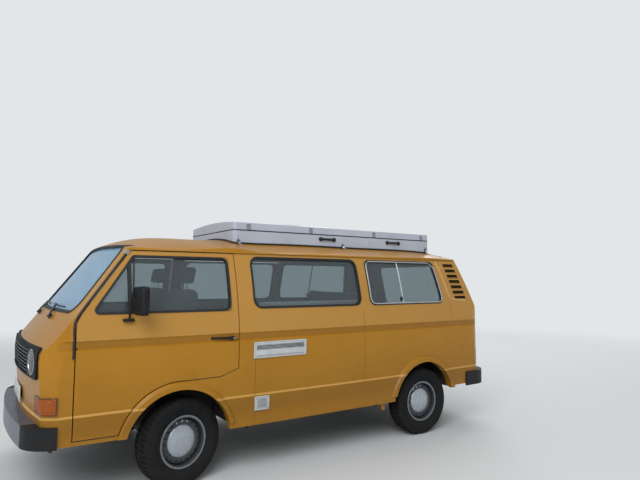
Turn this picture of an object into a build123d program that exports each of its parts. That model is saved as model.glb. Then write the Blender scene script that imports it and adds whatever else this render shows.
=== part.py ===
from build123d import *
from math import cos, radians, sin, sqrt
import os

# Camper van, boxy one-box body with the engine behind, hard box on the roof.
# +X is forward, +Y is the left side, +Z is up; the origin is on the ground under the middle of the length.

# Overall sizes
LENGTH = 4570.0
HALF_WIDTH = 922.5
WHEELBASE = 2460.0
FRONT_OVERHANG = 1060.0
TYRE_RADIUS = 318.0
FRONT_X = LENGTH / 2
REAR_X = -LENGTH / 2
FRONT_AXLE_X = FRONT_X - FRONT_OVERHANG
REAR_AXLE_X = FRONT_AXLE_X - WHEELBASE
AXLE_Z = TYRE_RADIUS

# Clearances
PANEL_GAP = 7.0
SEAT_GAP = 0.3
WALL = 50.0
GLASS = 5.0
GLASS_INSET = 12.0
SEAL = 16.0
SEAL_STAND = 5.0

# Heights of the body, from the ground
SILL_Z = 368.0
NOSE_BOTTOM_Z = 415.0
TAIL_BOTTOM_Z = 432.0
LEDGE_Z = 604.0
BELT_LOW_Z = 1036.0
BELT_HIGH_Z = 1096.0
GUTTER_Z = 1726.0
ROOF_Z = 1893.0
FLOOR_Z = 480.0
DECK_Z = 850.0

# Curvature of the body: sideways bow, nose and tail in plan
BOW_R = 57000.0
NOSE_R = 5000.0
NOSE_X = 1000.0
TAIL_X = -3405.0
TAIL_R = 5000.0
CORNER_R = 190.0
WIDEST_X = FRONT_AXLE_X - 1150.0

# Cross sections of the roof: distance ahead of the front axle, height in the middle and at EAVES_Y
EAVES_Y = 760.0
ROOF_SECTIONS = [
    (-3700.0, 1690.0, 1600.0),
    (-3250.0, 1806.0, 1700.0),
    (-2900.0, 1862.0, 1733.0),
    (-2200.0, 1888.0, 1738.0),
    (-1500.0, ROOF_Z, 1738.0),
    (-700.0, 1889.0, 1738.0),
    (-100.0, 1873.0, 1738.0),
    (200.0, 1850.0, 1738.0),
    (400.0, 1788.0, 1735.0),
    (700.0, 1600.0, 1575.0),
    (1150.0, 1330.0, 1315.0),
]

# Half section of the outer skin at its widest place: how far in from the half width, height
LOWER_SECTION = [
    (22.0, 250.0),
    (4.0, LEDGE_Z - 6.0),
    (15.0, LEDGE_Z + 6.0),
    (2.0, BELT_LOW_Z - 5.0),
    (14.0, BELT_LOW_Z + 5.0),
    (9.0, BELT_HIGH_Z - 6.0),
    (1.0, BELT_HIGH_Z),
]
UPPER_SECTION = [(58.0, 1412.0), (158.0, 1740.0), (280.0, 2060.0)]

# Centre line of the nose and the tail: distance ahead of the front axle, height
NOSE_PROFILE = [
    (NOSE_X - 45.0, 250.0),
    (NOSE_X - 24.0, LEDGE_Z - 6.0),
    (NOSE_X - 34.0, LEDGE_Z + 6.0),
    (NOSE_X - 18.0, 780.0),
    (NOSE_X - 12.0, 960.0),
    (NOSE_X - 16.0, 1015.0),
    (NOSE_X - 36.0, 1050.0),
    (NOSE_X - 827.0, 2100.0),
]
TAIL_PROFILE = [
    (TAIL_X + 40.0, 250.0),
    (TAIL_X + 5.0, LEDGE_Z),
    (TAIL_X, 1060.0),
    (TAIL_X + 405.0, 2070.0),
]


def inset_path(points, distance):
    """Moves an open run of points to its left-hand side by a distance, with mitred corners."""
    moved = []
    for i, (a, b) in enumerate(points):
        ahead = points[min(i + 1, len(points) - 1)]
        behind = points[max(i - 1, 0)]
        normals = []
        for (a0, b0), (a1, b1) in ((behind, (a, b)), ((a, b), ahead)):
            run = sqrt((a1 - a0) ** 2 + (b1 - b0) ** 2)
            if run > 0:
                normals.append(((b0 - b1) / run, (a1 - a0) / run))
        na = sum(n[0] for n in normals) / len(normals)
        nb = sum(n[1] for n in normals) / len(normals)
        scale = distance / (na * na + nb * nb)
        moved.append((a + na * scale, b + nb * scale))
    return moved


def flat(points, radius=0.0):
    """Closed outline on the drawing plane, with all its corners rounded."""
    face = Face(Wire.make_polygon([(a, b, 0) for a, b in points], close=True))
    return face.fillet_2d(radius, face.vertices()) if radius else face


def along_x(face, x0, x1):
    """An outline drawn in Y and Z, extruded from x0 to x1."""
    return extrude(Plane((x0, 0, 0), x_dir=(0, 1, 0), z_dir=(1, 0, 0)) * face, amount=x1 - x0, dir=(1, 0, 0))


def along_y(face, y0, y1):
    """An outline drawn in X and Z, extruded from y0 to y1."""
    return extrude(Plane((0, y0, 0), x_dir=(1, 0, 0), z_dir=(0, -1, 0)) * face, amount=y1 - y0, dir=(0, 1, 0))


def along_z(face, z0, z1):
    """An outline drawn in X and Y, extruded from z0 to z1."""
    return extrude(Pos(0, 0, z0) * face, amount=z1 - z0, dir=(0, 0, 1))


def block(x0, x1, y0, y1, z0, z1):
    """A box between two corners."""
    return Pos((x0 + x1) / 2, (y0 + y1) / 2, (z0 + z1) / 2) * Box(x1 - x0, y1 - y0, z1 - z0)


def mirrored(shape):
    """The same shape on the other side of the van."""
    solids = [mirror(solid, about=Plane.XZ) for solid in shape.solids()]
    return solids[0] if len(solids) == 1 else Compound(solids)


def side_skin(inset, creased):
    """Everything inside the left side's surface, bowed along its length."""
    low = LOWER_SECTION if creased else [LOWER_SECTION[0], LOWER_SECTION[1], LOWER_SECTION[-1]]
    points = inset_path([(HALF_WIDTH - dip, z) for dip, z in low + UPPER_SECTION], inset)
    inner = -1150.0
    lower, arc = points[: len(low)], points[len(low) - 1:]
    edges = [Line((WIDEST_X, *a), (WIDEST_X, *b)) for a, b in zip(lower, lower[1:])]
    edges.append(ThreePointArc(*[(WIDEST_X, *p) for p in arc[:3]]))
    edges.append(Line((WIDEST_X, *arc[2]), (WIDEST_X, *arc[3])))
    edges.append(Line((WIDEST_X, *arc[3]), (WIDEST_X, inner, arc[3][1])))
    edges.append(Line((WIDEST_X, inner, arc[3][1]), (WIDEST_X, inner, lower[0][1])))
    edges.append(Line((WIDEST_X, inner, lower[0][1]), (WIDEST_X, *lower[0])))
    axis = Axis((WIDEST_X, HALF_WIDTH - BOW_R, 0), (0, 0, 1))
    half_turn = 2.9
    face = Face(Wire(edges)).rotate(axis, -half_turn)
    return revolve(face, axis=axis, revolution_arc=2 * half_turn)


def turned(points, inset, axis_x, sign):
    """Everything inside a nose or tail profile turned about an upright axis."""
    path = inset_path([(FRONT_AXLE_X + x, z) for x, z in points], sign * inset)
    outline = [(axis_x, path[0][1])] + path + [(axis_x, path[-1][1])]
    axis = Axis((axis_x, 0, 0), (0, 0, 1))
    face = Face(Wire.make_polygon([(x, 0, z) for x, z in outline[::sign]], close=True)).rotate(axis, 180)
    return revolve(face, axis=axis, revolution_arc=360)


def plan_face(nose, tail, half, corner):
    """Bowed outline seen from above, with rounded corners; nose and tail are ahead of the front axle."""
    nose_x = FRONT_AXLE_X + nose
    tail_x = FRONT_AXLE_X + tail
    front_half = half - (nose_x - WIDEST_X) ** 2 / (2 * BOW_R)
    rear_half = half - (tail_x - WIDEST_X) ** 2 / (2 * BOW_R)
    front_x = nose_x - front_half ** 2 / (2 * NOSE_R)
    rear_x = tail_x + rear_half ** 2 / (2 * TAIL_R)
    edges = [
        ThreePointArc((front_x, -front_half), (nose_x, 0), (front_x, front_half)),
        ThreePointArc((front_x, front_half), (WIDEST_X, half), (rear_x, rear_half)),
        ThreePointArc((rear_x, rear_half), (tail_x, 0), (rear_x, -rear_half)),
        ThreePointArc((rear_x, -rear_half), (WIDEST_X, -half), (front_x, -front_half)),
    ]
    face = Face(Wire(edges))
    return face.fillet_2d(corner, face.vertices())


def roof_skin(inset):
    """Everything under the crowned roof, lofted through its cross sections."""
    half = 1150.0
    low_z = 150.0
    sections = []
    for ahead_x, middle_z, eaves_z in ROOF_SECTIONS:
        x = FRONT_AXLE_X + ahead_x
        drop = middle_z - eaves_z
        radius = (EAVES_Y ** 2 + drop ** 2) / (2 * drop)
        edge_z = middle_z - radius + sqrt((radius - inset) ** 2 - half ** 2)
        top = ThreePointArc((x, half, edge_z), (x, 0, middle_z - inset), (x, -half, edge_z))
        right = Line((x, -half, edge_z), (x, -half, low_z))
        bottom = Line((x, -half, low_z), (x, half, low_z))
        left = Line((x, half, low_z), (x, half, edge_z))
        sections.append(Face(Wire([top, right, bottom, left])))
    return loft(sections)


def hull(inset, creased=False, bottom=SILL_Z):
    """The body as one solid, moved in from its outer skin."""
    plan = plan_face(NOSE_X + 2.0 - inset, TAIL_X - 2.0 + inset, HALF_WIDTH - inset, CORNER_R - inset)
    left = side_skin(inset, creased)
    body = left & mirrored(left)
    body = body & roof_skin(inset) & along_z(plan, bottom, 2200.0)
    body = body & turned(NOSE_PROFILE, inset, FRONT_AXLE_X + NOSE_X - NOSE_R, 1)
    return body & turned(TAIL_PROFILE, inset, FRONT_AXLE_X + TAIL_X + TAIL_R, -1)


def ahead(points):
    """Outline points given ahead of the front axle, moved to the van's own origin."""
    return [(FRONT_AXLE_X + x, z) for x, z in points]


def grown(face, distance):
    """An outline made larger all round, or smaller with a minus sign."""
    return offset(face, amount=distance, kind=Kind.INTERSECTION).face()


# The shell of the body, and its skins
DOOR_SKIN = 12.0
STEP_GAP = 11.0
outer = hull(0.0, True)
skin_back = hull(DOOR_SKIN)
inner = hull(WALL, bottom=SILL_Z - 20.0)
glass_front = hull(GLASS_INSET)
glass_back = hull(GLASS_INSET + GLASS)
seal_front = hull(-SEAL_STAND)
seal_back = hull(GLASS_INSET + GLASS + 8.0)
trim_back = hull(-SEAT_GAP, True, 300.0)
lip_front = hull(-18.0)
wall_skins = (outer, inner)
skin_skins = (outer, skin_back)
lining_skins = (skin_back, inner)
glass_skins = (glass_front, glass_back)
seal_skins = (seal_front, seal_back)

# The same skins on the left side alone, without the thickness of the nose, tail and roof
side_skin_back = side_skin(DOOR_SKIN, False)
side_inner = side_skin(WALL, False)
side_wall = (outer, side_inner)
side_outer_skin = (outer, side_skin_back)
side_lining = (skin_back, side_inner)
side_glass_skins = (glass_front, side_skin(GLASS_INSET + GLASS, False))
side_seal_skins = (seal_front, side_skin(GLASS_INSET + GLASS + 8.0, False))

nodes = {}


def layer(region, skins):
    """The part of a region that lies between two skins of the body."""
    front, back = skins
    return (region & front) - back


# Wheel arches, in side view
ARCH_RADIUS = 390.0
LIP_RADIUS = 447.0
LIP_TOP = 440.0
AXLES = {"front": FRONT_AXLE_X, "rear": REAR_AXLE_X}


def disc(x, radius, y0, y1):
    """A solid disc across the van, on an axle's line."""
    return along_y(Pos(x, AXLE_Z) * Face(Wire.make_circle(radius)), y0, y1)


# Cab doors: outline, window and the window's quarter bar
DOOR_FRONT = 726.0
DOOR_REAR = -452.0
DOOR_BOTTOM_Z = 440.0
DOOR_TOP_FRONT = 360.0
pillar_line = [(DOOR_FRONT, 1215.0), (DOOR_FRONT - 36.0, 1282.0), (DOOR_TOP_FRONT, GUTTER_Z)]
door_line = [
    (DOOR_FRONT, DOOR_BOTTOM_Z),
    *pillar_line,
    (DOOR_REAR, GUTTER_Z),
    (DOOR_REAR, 822.0),
    (-303.0, AXLE_Z + LIP_TOP + 10.0),
    (0.0, AXLE_Z + LIP_TOP + 4.0),
    (0.0, DOOR_BOTTOM_Z),
]
door_face = flat(ahead(door_line))
cab_window = flat(ahead([(606, 1283), (-376, 1283), (-376, 1671), (336, 1671)]), 16.0)
mid_window = flat(ahead([(-601, 1294), (-1668, 1294), (-1668, 1686), (-601, 1686)]), 58.0)
rear_window = flat(ahead([(-1798, 1293), (-2757, 1293), (-2702, 1687), (-1798, 1687)]), 48.0)
QUARTER_X = FRONT_AXLE_X + 372.0
QUARTER_BAR = 24.0

door_hole = along_y(door_face, 400, 1200)
door_hole = door_hole - disc(FRONT_AXLE_X, LIP_RADIUS, 300, 1300)
door_prism = along_y(grown(door_face, -PANEL_GAP), 400, 1200)
door_prism = door_prism - disc(FRONT_AXLE_X, LIP_RADIUS + PANEL_GAP, 300, 1300)
door_core = along_y(grown(door_face, -PANEL_GAP - STEP_GAP), 400, 1200)
door_core = door_core - disc(FRONT_AXLE_X, LIP_RADIUS + PANEL_GAP + STEP_GAP, 300, 1300)


door_hole_w = along_y(grown(cab_window, SEAL), 300, 1200)
door_clear = along_y(cab_window, 300, 1200)
door_left = layer(door_prism, side_outer_skin) + layer(door_core, side_lining) - door_hole_w
door_seal = layer(door_hole_w - door_clear, side_seal_skins)
bar = block(QUARTER_X - QUARTER_BAR / 2, QUARTER_X + QUARTER_BAR / 2, 300, 1200, 1200, 1720)
door_seal = door_seal + layer(door_clear & bar, side_seal_skins)
door_glass = layer(door_clear - bar, side_glass_skins)

nodes["door_left"] = door_left
nodes["door_left_seal"] = door_seal
nodes["door_left_glass"] = door_glass

# Handle in the belt groove and the mirror on its arm
handle_face = flat(ahead([(-225, 1048), (-423, 1048), (-423, 1080), (-225, 1080)]), 12.0)
handle = layer(along_y(handle_face, 400, 1200), (hull(-24.0), trim_back))
MIRROR_X = FRONT_AXLE_X + 338.0
MIRROR_Z = 1360.0
mirror_head = Pos(MIRROR_X, 1010, MIRROR_Z) * Box(64, 150, 204)
mirror_head = fillet(mirror_head.edges(), 22)
foot_face = flat(ahead([(365, 1212), (440, 1212), (440, 1245), (365, 1245)]), 12)
arm_foot = layer(along_y(foot_face, 400, 1200), (hull(-20.0), trim_back))
arm = block(MIRROR_X + 28, MIRROR_X + 52, 880, 960, 1222, 1240) - trim_back
arm = arm + block(MIRROR_X + 8, MIRROR_X + 32, 940, 964, 1222, 1290) + block(MIRROR_X + 8, MIRROR_X + 52, 940, 964, 1222, 1240)
nodes["door_left_fittings"] = Compound([handle, mirror_head + arm_foot + arm])

# Nose with its screen opening, and the two sides
nose_line = [
    (DOOR_FRONT, NOSE_BOTTOM_Z),
    *pillar_line,
    (1300.0, GUTTER_Z),
    (1300.0, NOSE_BOTTOM_Z),
]
screen_line = [(-762, 1290), (762, 1290), (676, 1752), (0, 1766), (-676, 1752)]
screen_face = flat(screen_line, 70.0)
SCREEN_REAR_X = FRONT_AXLE_X + 300.0
screen_hole = along_x(grown(screen_face, SEAL), SCREEN_REAR_X, FRONT_X)
screen_clear = along_x(screen_face, SCREEN_REAR_X, FRONT_X)
nose_region = along_y(flat(ahead(nose_line)), -1200, 1200)
nodes["nose_panel"] = layer(nose_region, wall_skins) - screen_hole

REAR_SPLIT = -3215.0
tail_line = [(-3215.0, 1060.0), (-3072.0, GUTTER_Z)]
side_line = [
    (DOOR_FRONT, 300.0),
    *pillar_line,
    (tail_line[1][0], GUTTER_Z),
    (tail_line[0][0], tail_line[0][1]),
    (REAR_SPLIT, 300.0),
]
side_region = along_y(flat(ahead(side_line)), 400, 1200)
side = layer(side_region, side_wall) - door_hole
side = side - block(FRONT_AXLE_X + 200, FRONT_X, 300, 1200, 300, NOSE_BOTTOM_Z)
side = side - block(REAR_X, REAR_AXLE_X - 300, 300, 1200, 300, TAIL_BOTTOM_Z)
lips = []
for axle_x in AXLES.values():
    flare = Pos(axle_x, 900, AXLE_Z) * Rot(-90, 0, 0) * Cone(LIP_RADIUS + 40, LIP_RADIUS - 40, 80)
    ring = disc(axle_x, LIP_RADIUS, 500, 1000) & flare
    ring = ring & block(axle_x - 500, axle_x + 500, 500, 1000, 300, AXLE_Z + LIP_TOP)
    lips.append(layer(ring, (lip_front, side_inner)))
for lip in lips:
    side = side + (lip - block(REAR_X, FRONT_X, 300, 1200, 0, NOSE_BOTTOM_Z))
for axle_x in AXLES.values():
    side = side - disc(axle_x, ARCH_RADIUS, 300, 1300)

# Louvres behind the rear side windows
LOUVRES = 7
LOUVRE_PITCH = 56.4
LOUVRE_HEIGHT = 40.0
LOUVRE_TOP_Z = 1684.0
LOUVRE_FRONT = -2872.0
LOUVRE_REAR = -3032.0
FRONT_LEAN = 0.233
REAR_LEAN = 0.280
slots = []
slot_floor = hull(24.0)
for i in range(LOUVRES):
    corners = []
    for drop, front_first in ((i * LOUVRE_PITCH, True), (i * LOUVRE_PITCH + LOUVRE_HEIGHT, False)):
        ends = [(LOUVRE_FRONT - drop * FRONT_LEAN, LOUVRE_TOP_Z - drop), (LOUVRE_REAR - drop * REAR_LEAN, LOUVRE_TOP_Z - drop)]
        corners += ends if front_first else ends[::-1]
    slots.append(along_y(flat(ahead(corners), 6.0), 400, 1200) - slot_floor)
for slot in slots:
    side = side - slot

mid_hole = along_y(grown(mid_window, SEAL), 300, 1200)
mid_clear = along_y(mid_window, 300, 1200)
rear_hole = along_y(grown(rear_window, SEAL), 300, 1200)
rear_clear = along_y(rear_window, 300, 1200)
side = side - rear_hole
side_seals = [layer(mid_hole - mid_clear, side_seal_skins), layer(rear_hole - rear_clear, side_seal_skins)]
side_panes = [layer(mid_clear, side_glass_skins), layer(rear_clear, side_glass_skins)]
nodes["side_left"] = side - mid_hole

# Sliding door in the right side, with its rail
SLIDER_FRONT = -560.0
SLIDER_REAR = -1750.0
SLIDER_LOW_Z = 425.0
SLIDER_TOP_Z = GUTTER_Z - 14.0
slider_corners = [(SLIDER_FRONT, SLIDER_LOW_Z), (SLIDER_REAR, SLIDER_LOW_Z), (SLIDER_REAR, SLIDER_TOP_Z)]
slider_face = flat(ahead(slider_corners + [(SLIDER_FRONT, SLIDER_TOP_Z)]), 25.0)
slider = layer(along_y(grown(slider_face, -PANEL_GAP), 400, 1200), side_wall)
nodes["sliding_door"] = mirrored(slider - mid_hole)
rail_face = flat(ahead([(SLIDER_REAR - 20, 1042), (-2900, 1042), (-2900, 1090), (SLIDER_REAR - 20, 1090)]), 8.0)
rail = layer(along_y(rail_face, 400, 1200), (hull(-8.0), hull(18.0)))
nodes["side_right"] = mirrored(side - along_y(slider_face, 400, 1200) + rail)

screen_seal = layer(screen_hole - screen_clear, seal_skins)
nodes["window_seals"] = Compound(side_seals + [mirrored(seal) for seal in side_seals] + [screen_seal])
nodes["side_glass"] = Compound(side_panes + [mirrored(pane) for pane in side_panes])
nodes["windscreen"] = layer(screen_clear, glass_skins)

# Roof with its gutters, tailgate and the frame round it
gate_face = flat([(-765, 790), (765, 790), (765, 1100), (655, 1772), (-655, 1772), (-765, 1100)], 45.0)
gate_window = flat([(-640, 1185), (640, 1185), (560, 1668), (-560, 1668)], 70.0)
GATE_X = FRONT_AXLE_X - 2900.0
gate_hole = along_x(gate_face, REAR_X - 50, GATE_X)
roof = layer(block(REAR_X, FRONT_X, -1200, 1200, GUTTER_Z, 2200), wall_skins) - screen_hole - gate_hole
gutter_zone = block(FRONT_AXLE_X - 3060, FRONT_AXLE_X + DOOR_TOP_FRONT, 690, 1200, GUTTER_Z, GUTTER_Z + 11)
gutter = layer(gutter_zone, (hull(-13.0), side_skin(8.0, False)))
nodes["roof_panel"] = roof + gutter + mirrored(gutter)

tail_region = [
    (tail_line[1][0], GUTTER_Z),
    tail_line[0],
    (REAR_SPLIT, TAIL_BOTTOM_Z),
    (-3700.0, TAIL_BOTTOM_Z),
    (-3700.0, GUTTER_Z),
]
nodes["rear_frame"] = layer(along_y(flat(ahead(tail_region)), -1200, 1200), wall_skins) - gate_hole
gate = layer(along_x(grown(gate_face, -PANEL_GAP), REAR_X - 50, GATE_X), skin_skins)
gate = gate + layer(along_x(grown(gate_face, -PANEL_GAP - STEP_GAP), REAR_X - 50, GATE_X), lining_skins)
gate_window_hole = along_x(grown(gate_window, SEAL), REAR_X - 50, GATE_X)
gate_clear = along_x(gate_window, REAR_X - 50, GATE_X)
nodes["tailgate"] = gate - gate_window_hole
nodes["tailgate_seal"] = layer(gate_window_hole - gate_clear, seal_skins)
nodes["tailgate_glass"] = layer(gate_clear, glass_skins)

# Bumpers with their end caps
BUMPER_LOW_Z = 410.0
BUMPER_HIGH_Z = 553.0
BUMPER_HALF = HALF_WIDTH + 8.0
CAP_Y = 700.0
BUMPER_CORNER_R = 232.0
bumper_plan = plan_face(FRONT_OVERHANG, FRONT_OVERHANG - LENGTH, BUMPER_HALF, BUMPER_CORNER_R)
band = along_z(bumper_plan, BUMPER_LOW_Z, BUMPER_HIGH_Z) - trim_back
front_half_space = block(FRONT_AXLE_X + 812, FRONT_X + 50, -1200, 1200, 300, 700)
rear_half_space = block(REAR_X - 50, FRONT_AXLE_X - 3075, -1200, 1200, 300, 700)
middle = block(REAR_X - 50, FRONT_X + 50, -CAP_Y, CAP_Y, 300, 700)
cap_spaces = [
    block(REAR_X - 50, FRONT_X + 50, CAP_Y + SEAT_GAP, 1200, 300, 700),
    block(REAR_X - 50, FRONT_X + 50, -1200, -CAP_Y - SEAT_GAP, 300, 700),
]
front_bar = band & front_half_space
rear_bar = band & rear_half_space
nodes["bumpers"] = Compound([front_bar & middle, rear_bar & middle])
nodes["bumper_caps"] = Compound([bar_half & space for bar_half in (front_bar, rear_bar) for space in cap_spaces])

# Grille with its round lamps, turn lamps on the corners, tail lamps
LAMP_Y = 640.0
LAMP_Z = 950.0
LAMP_RADIUS = 89.0
GRILLE_LOW_Z = 846.0
GRILLE_HIGH_Z = 1054.0
GRILLE_HALF = 775.0
GRILLE_DEPTH = 14.0
SLATS = 8
SLAT_HALF = 525.0
nose_x = FRONT_AXLE_X + 600
grille_skins = (hull(-GRILLE_DEPTH), trim_back)
grille_corners = [(-1, GRILLE_LOW_Z), (1, GRILLE_LOW_Z), (1, GRILLE_HIGH_Z), (-1, GRILLE_HIGH_Z)]
grille = layer(along_x(flat([(s * GRILLE_HALF, z) for s, z in grille_corners], 26.0), nose_x, FRONT_X), grille_skins)
slat_pitch = (GRILLE_HIGH_Z - GRILLE_LOW_Z - 20.0) / SLATS
slit_back = hull(-4.0)
for i in range(SLATS):
    z0 = GRILLE_LOW_Z + 10.0 + i * slat_pitch + 3.0
    grille = grille - (block(nose_x, FRONT_X, -SLAT_HALF, SLAT_HALF, z0, z0 + slat_pitch - 6.0) - slit_back)
lamps = []
for side_sign in (1, -1):
    hole = Pos(nose_x, side_sign * LAMP_Y, LAMP_Z) * Rot(0, 90, 0) * Cylinder(LAMP_RADIUS, 1200)
    grille = grille - hole
    bowl = Pos(nose_x, side_sign * LAMP_Y, LAMP_Z) * Rot(0, 90, 0) * Cylinder(LAMP_RADIUS - SEAT_GAP, 1200)
    lens_x = FRONT_AXLE_X + NOSE_X - LAMP_Y ** 2 / (2 * NOSE_R) + 6.0
    dome = Pos(lens_x - 260.0, side_sign * LAMP_Y, LAMP_Z) * Sphere(260.0)
    lamps.append((bowl & dome) - trim_back)
nodes["grille"] = grille
nodes["headlamps"] = Compound(lamps)

lamp_skins = (hull(-12.0), trim_back)
turn_zone = block(FRONT_AXLE_X + 816, FRONT_X, 700, 1000, 627, 738)
tail_zone = block(REAR_X, FRONT_AXLE_X - 3330, 600, 1000, 606, 768)
signals = [layer(turn_zone, lamp_skins), layer(tail_zone, lamp_skins)]
nodes["signal_lamps"] = Compound(signals + [mirrored(lamp) for lamp in signals])

# Wipers: a boss on the nose, an arm over the rubber and a blade that stands on the glass
WIPER_Y = [355.0, -290.0]
WIPER_Z = 1238.0
BLADE_Z = 1312.0
ARM_SKIN = 14.0
wiper_skins = {
    "boss": (hull(-ARM_SKIN - 8.0), trim_back),
    "arm": (hull(-ARM_SKIN - 8.0), hull(-ARM_SKIN)),
    "blade": (hull(-ARM_SKIN - 1.0), hull(GLASS_INSET - SEAT_GAP)),
}
wipers = []
for y in WIPER_Y:
    boss_face = Pos(y, WIPER_Z) * Face(Wire.make_circle(13.0))
    arm_face = flat([(y - 9, WIPER_Z), (y + 9, WIPER_Z), (y - 146, BLADE_Z + 8), (y - 158, BLADE_Z)])
    blade_face = flat([(y + 115, BLADE_Z - 6), (y + 115, BLADE_Z + 4), (y - 415, BLADE_Z + 12), (y - 415, BLADE_Z + 2)])
    pieces = []
    for kind, face in (("boss", boss_face), ("arm", arm_face), ("blade", blade_face)):
        pieces.append(layer(along_x(face, 1500, FRONT_X), wiper_skins[kind]))
    wipers.append(pieces[0] + pieces[1] + pieces[2])
nodes["wipers"] = Compound(wipers)

# Floor, raised rear deck, wheel boxes and the frame under them
FLOOR_FRONT = 925.0
FLOOR_REAR = -1950.0
DECK_REAR = -3335.0
FLOOR_SHEET = 24.0
BOX_IN_Y = 488.0
BOX_HALF_X = 410.0
BOX_TOP_Z = AXLE_Z + 405.0
BOX_SHEET = 5.0
inside = hull(WALL + SEAT_GAP, bottom=NOSE_BOTTOM_Z)


def wheel_box(x, grow):
    """Space round one left wheel, open below and to the outside."""
    half = BOX_HALF_X + grow
    return block(x - half, x + half, BOX_IN_Y - grow, 1300, -50, BOX_TOP_Z + grow)


shells = []
ARM_HALF = 18.0
ARM_THICK = 16.0
ARM_CLEAR = 12.0
KINGPIN_HALF = 105.0
arm_slot = block(
    FRONT_AXLE_X - ARM_HALF - ARM_CLEAR, FRONT_AXLE_X + ARM_HALF + ARM_CLEAR, 300, 600,
    AXLE_Z + KINGPIN_HALF - ARM_THICK - ARM_CLEAR, AXLE_Z + KINGPIN_HALF + ARM_CLEAR)
for x in AXLES.values():
    shell = (wheel_box(x, BOX_SHEET) - wheel_box(x, 0.0)) & inside
    shell = shell - arm_slot
    shells += [shell, mirrored(shell)]
nodes["wheel_boxes"] = Compound(shells)

floor = block(FRONT_AXLE_X + FLOOR_REAR, FRONT_AXLE_X + FLOOR_FRONT, -1000, 1000, FLOOR_Z - FLOOR_SHEET, FLOOR_Z)
deck = block(FRONT_AXLE_X + DECK_REAR, FRONT_AXLE_X + FLOOR_REAR, -1000, 1000, DECK_Z - FLOOR_SHEET, DECK_Z)
riser = block(FRONT_AXLE_X + FLOOR_REAR, FRONT_AXLE_X + FLOOR_REAR + FLOOR_SHEET, -1000, 1000, FLOOR_Z - FLOOR_SHEET, DECK_Z)
floor = (floor + deck + riser) & inside
for x in AXLES.values():
    box = wheel_box(x, BOX_SHEET + SEAT_GAP)
    floor = floor - box - mirrored(box)
nodes["floor_pan"] = floor

RAIL_Y = 400.0
RAIL_HALF = 32.0
RAIL_LOW_Z = 378.0
RAIL_TOP_Z = FLOOR_Z - FLOOR_SHEET - SEAT_GAP
MEMBERS = [860.0, 470.0, -560.0, -1240.0, -1890.0]
JACK_X = [-560.0, -1890.0]
JACK_BORE = 11.0
JACK_DEPTH = 60.0
JACK_Z = 350.0
JACK_Y = 840.0
EYE_BORE = 14.0
EYE_WIDTH = 14.0
EYE_Z = 352.0
EYE_X = [880.0, -3280.0]
under_body = hull(WALL + SEAT_GAP, bottom=300.0)
rail_block = block(
    FRONT_AXLE_X - 3300, FRONT_AXLE_X + 900, RAIL_Y - RAIL_HALF, RAIL_Y + RAIL_HALF, RAIL_LOW_Z, RAIL_TOP_Z)
left_rail = (rail_block & under_body) - arm_slot
right_rail = mirrored(left_rail)
for x in EYE_X:
    eye = block(
        FRONT_AXLE_X + x - 24, FRONT_AXLE_X + x + 24, -RAIL_Y - EYE_WIDTH / 2, -RAIL_Y + EYE_WIDTH / 2,
        EYE_Z - 24, RAIL_LOW_Z + 10)
    eye_bore = Pos(FRONT_AXLE_X + x, -RAIL_Y, EYE_Z) * Rot(90, 0, 0) * Cylinder(EYE_BORE, 2 * EYE_WIDTH)
    right_rail = right_rail + (eye - eye_bore)
frame = [left_rail, right_rail]
inner_y = RAIL_Y - RAIL_HALF - SEAT_GAP
outer_y = RAIL_Y + RAIL_HALF + SEAT_GAP
for x in MEMBERS:
    x0, x1 = FRONT_AXLE_X + x - 30, FRONT_AXLE_X + x + 30
    frame.append(block(x0, x1, -inner_y, inner_y, RAIL_LOW_Z, RAIL_TOP_Z) & under_body)
    out_end = BOX_IN_Y - 10.0 if abs(x) < 500 else JACK_Y
    outrigger = block(x0, x1, outer_y, out_end, RAIL_LOW_Z, RAIL_TOP_Z) & under_body
    if x in JACK_X:
        tube = Pos(FRONT_AXLE_X + x, JACK_Y - JACK_DEPTH / 2, JACK_Z) * Rot(90, 0, 0)
        web = block(
            FRONT_AXLE_X + x - 16, FRONT_AXLE_X + x + 16, JACK_Y - JACK_DEPTH, JACK_Y, JACK_Z, RAIL_LOW_Z + 10)
        socket = tube * Cylinder(JACK_BORE + 5, JACK_DEPTH) + web
        outrigger = outrigger + (socket - tube * Cylinder(JACK_BORE, JACK_DEPTH + 2))
    frame += [outrigger, mirrored(outrigger)]
nodes["chassis_frame"] = Compound([solid for piece in frame for solid in piece.solids()])

# Wheels: section of the tyre and of the steel wheel, as radius and distance out from the middle
FRONT_TRACK = 1585.0
REAR_TRACK = 1570.0
TYRE_WIDTH = 188.0
RIM_RADIUS = 178.0
FLANGE_RADIUS = 191.0
RIM_HALF = 70.0
FLANGE_WIDTH = 6.0
SPINDLE_RADIUS = 18.0
HUB_RADIUS = 42.0
tyre_section = [
    (RIM_RADIUS, -RIM_HALF + FLANGE_WIDTH + SEAT_GAP),
    (FLANGE_RADIUS + SEAT_GAP, -RIM_HALF + FLANGE_WIDTH + SEAT_GAP),
    (FLANGE_RADIUS + SEAT_GAP, -RIM_HALF - 2.0),
    (236.0, -TYRE_WIDTH / 2 + 2.0),
    (268.0, -TYRE_WIDTH / 2),
    (300.0, -TYRE_WIDTH / 2 + 9.0),
    (TYRE_RADIUS - 5.0, -TYRE_WIDTH / 2 + 24.0),
    (TYRE_RADIUS, -TYRE_WIDTH / 2 + 36.0),
]
RIM_HOLES = 20
RIM_HOLE_CIRCLE = 143.0
RIM_HOLE_RADIUS = 7.5
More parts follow.
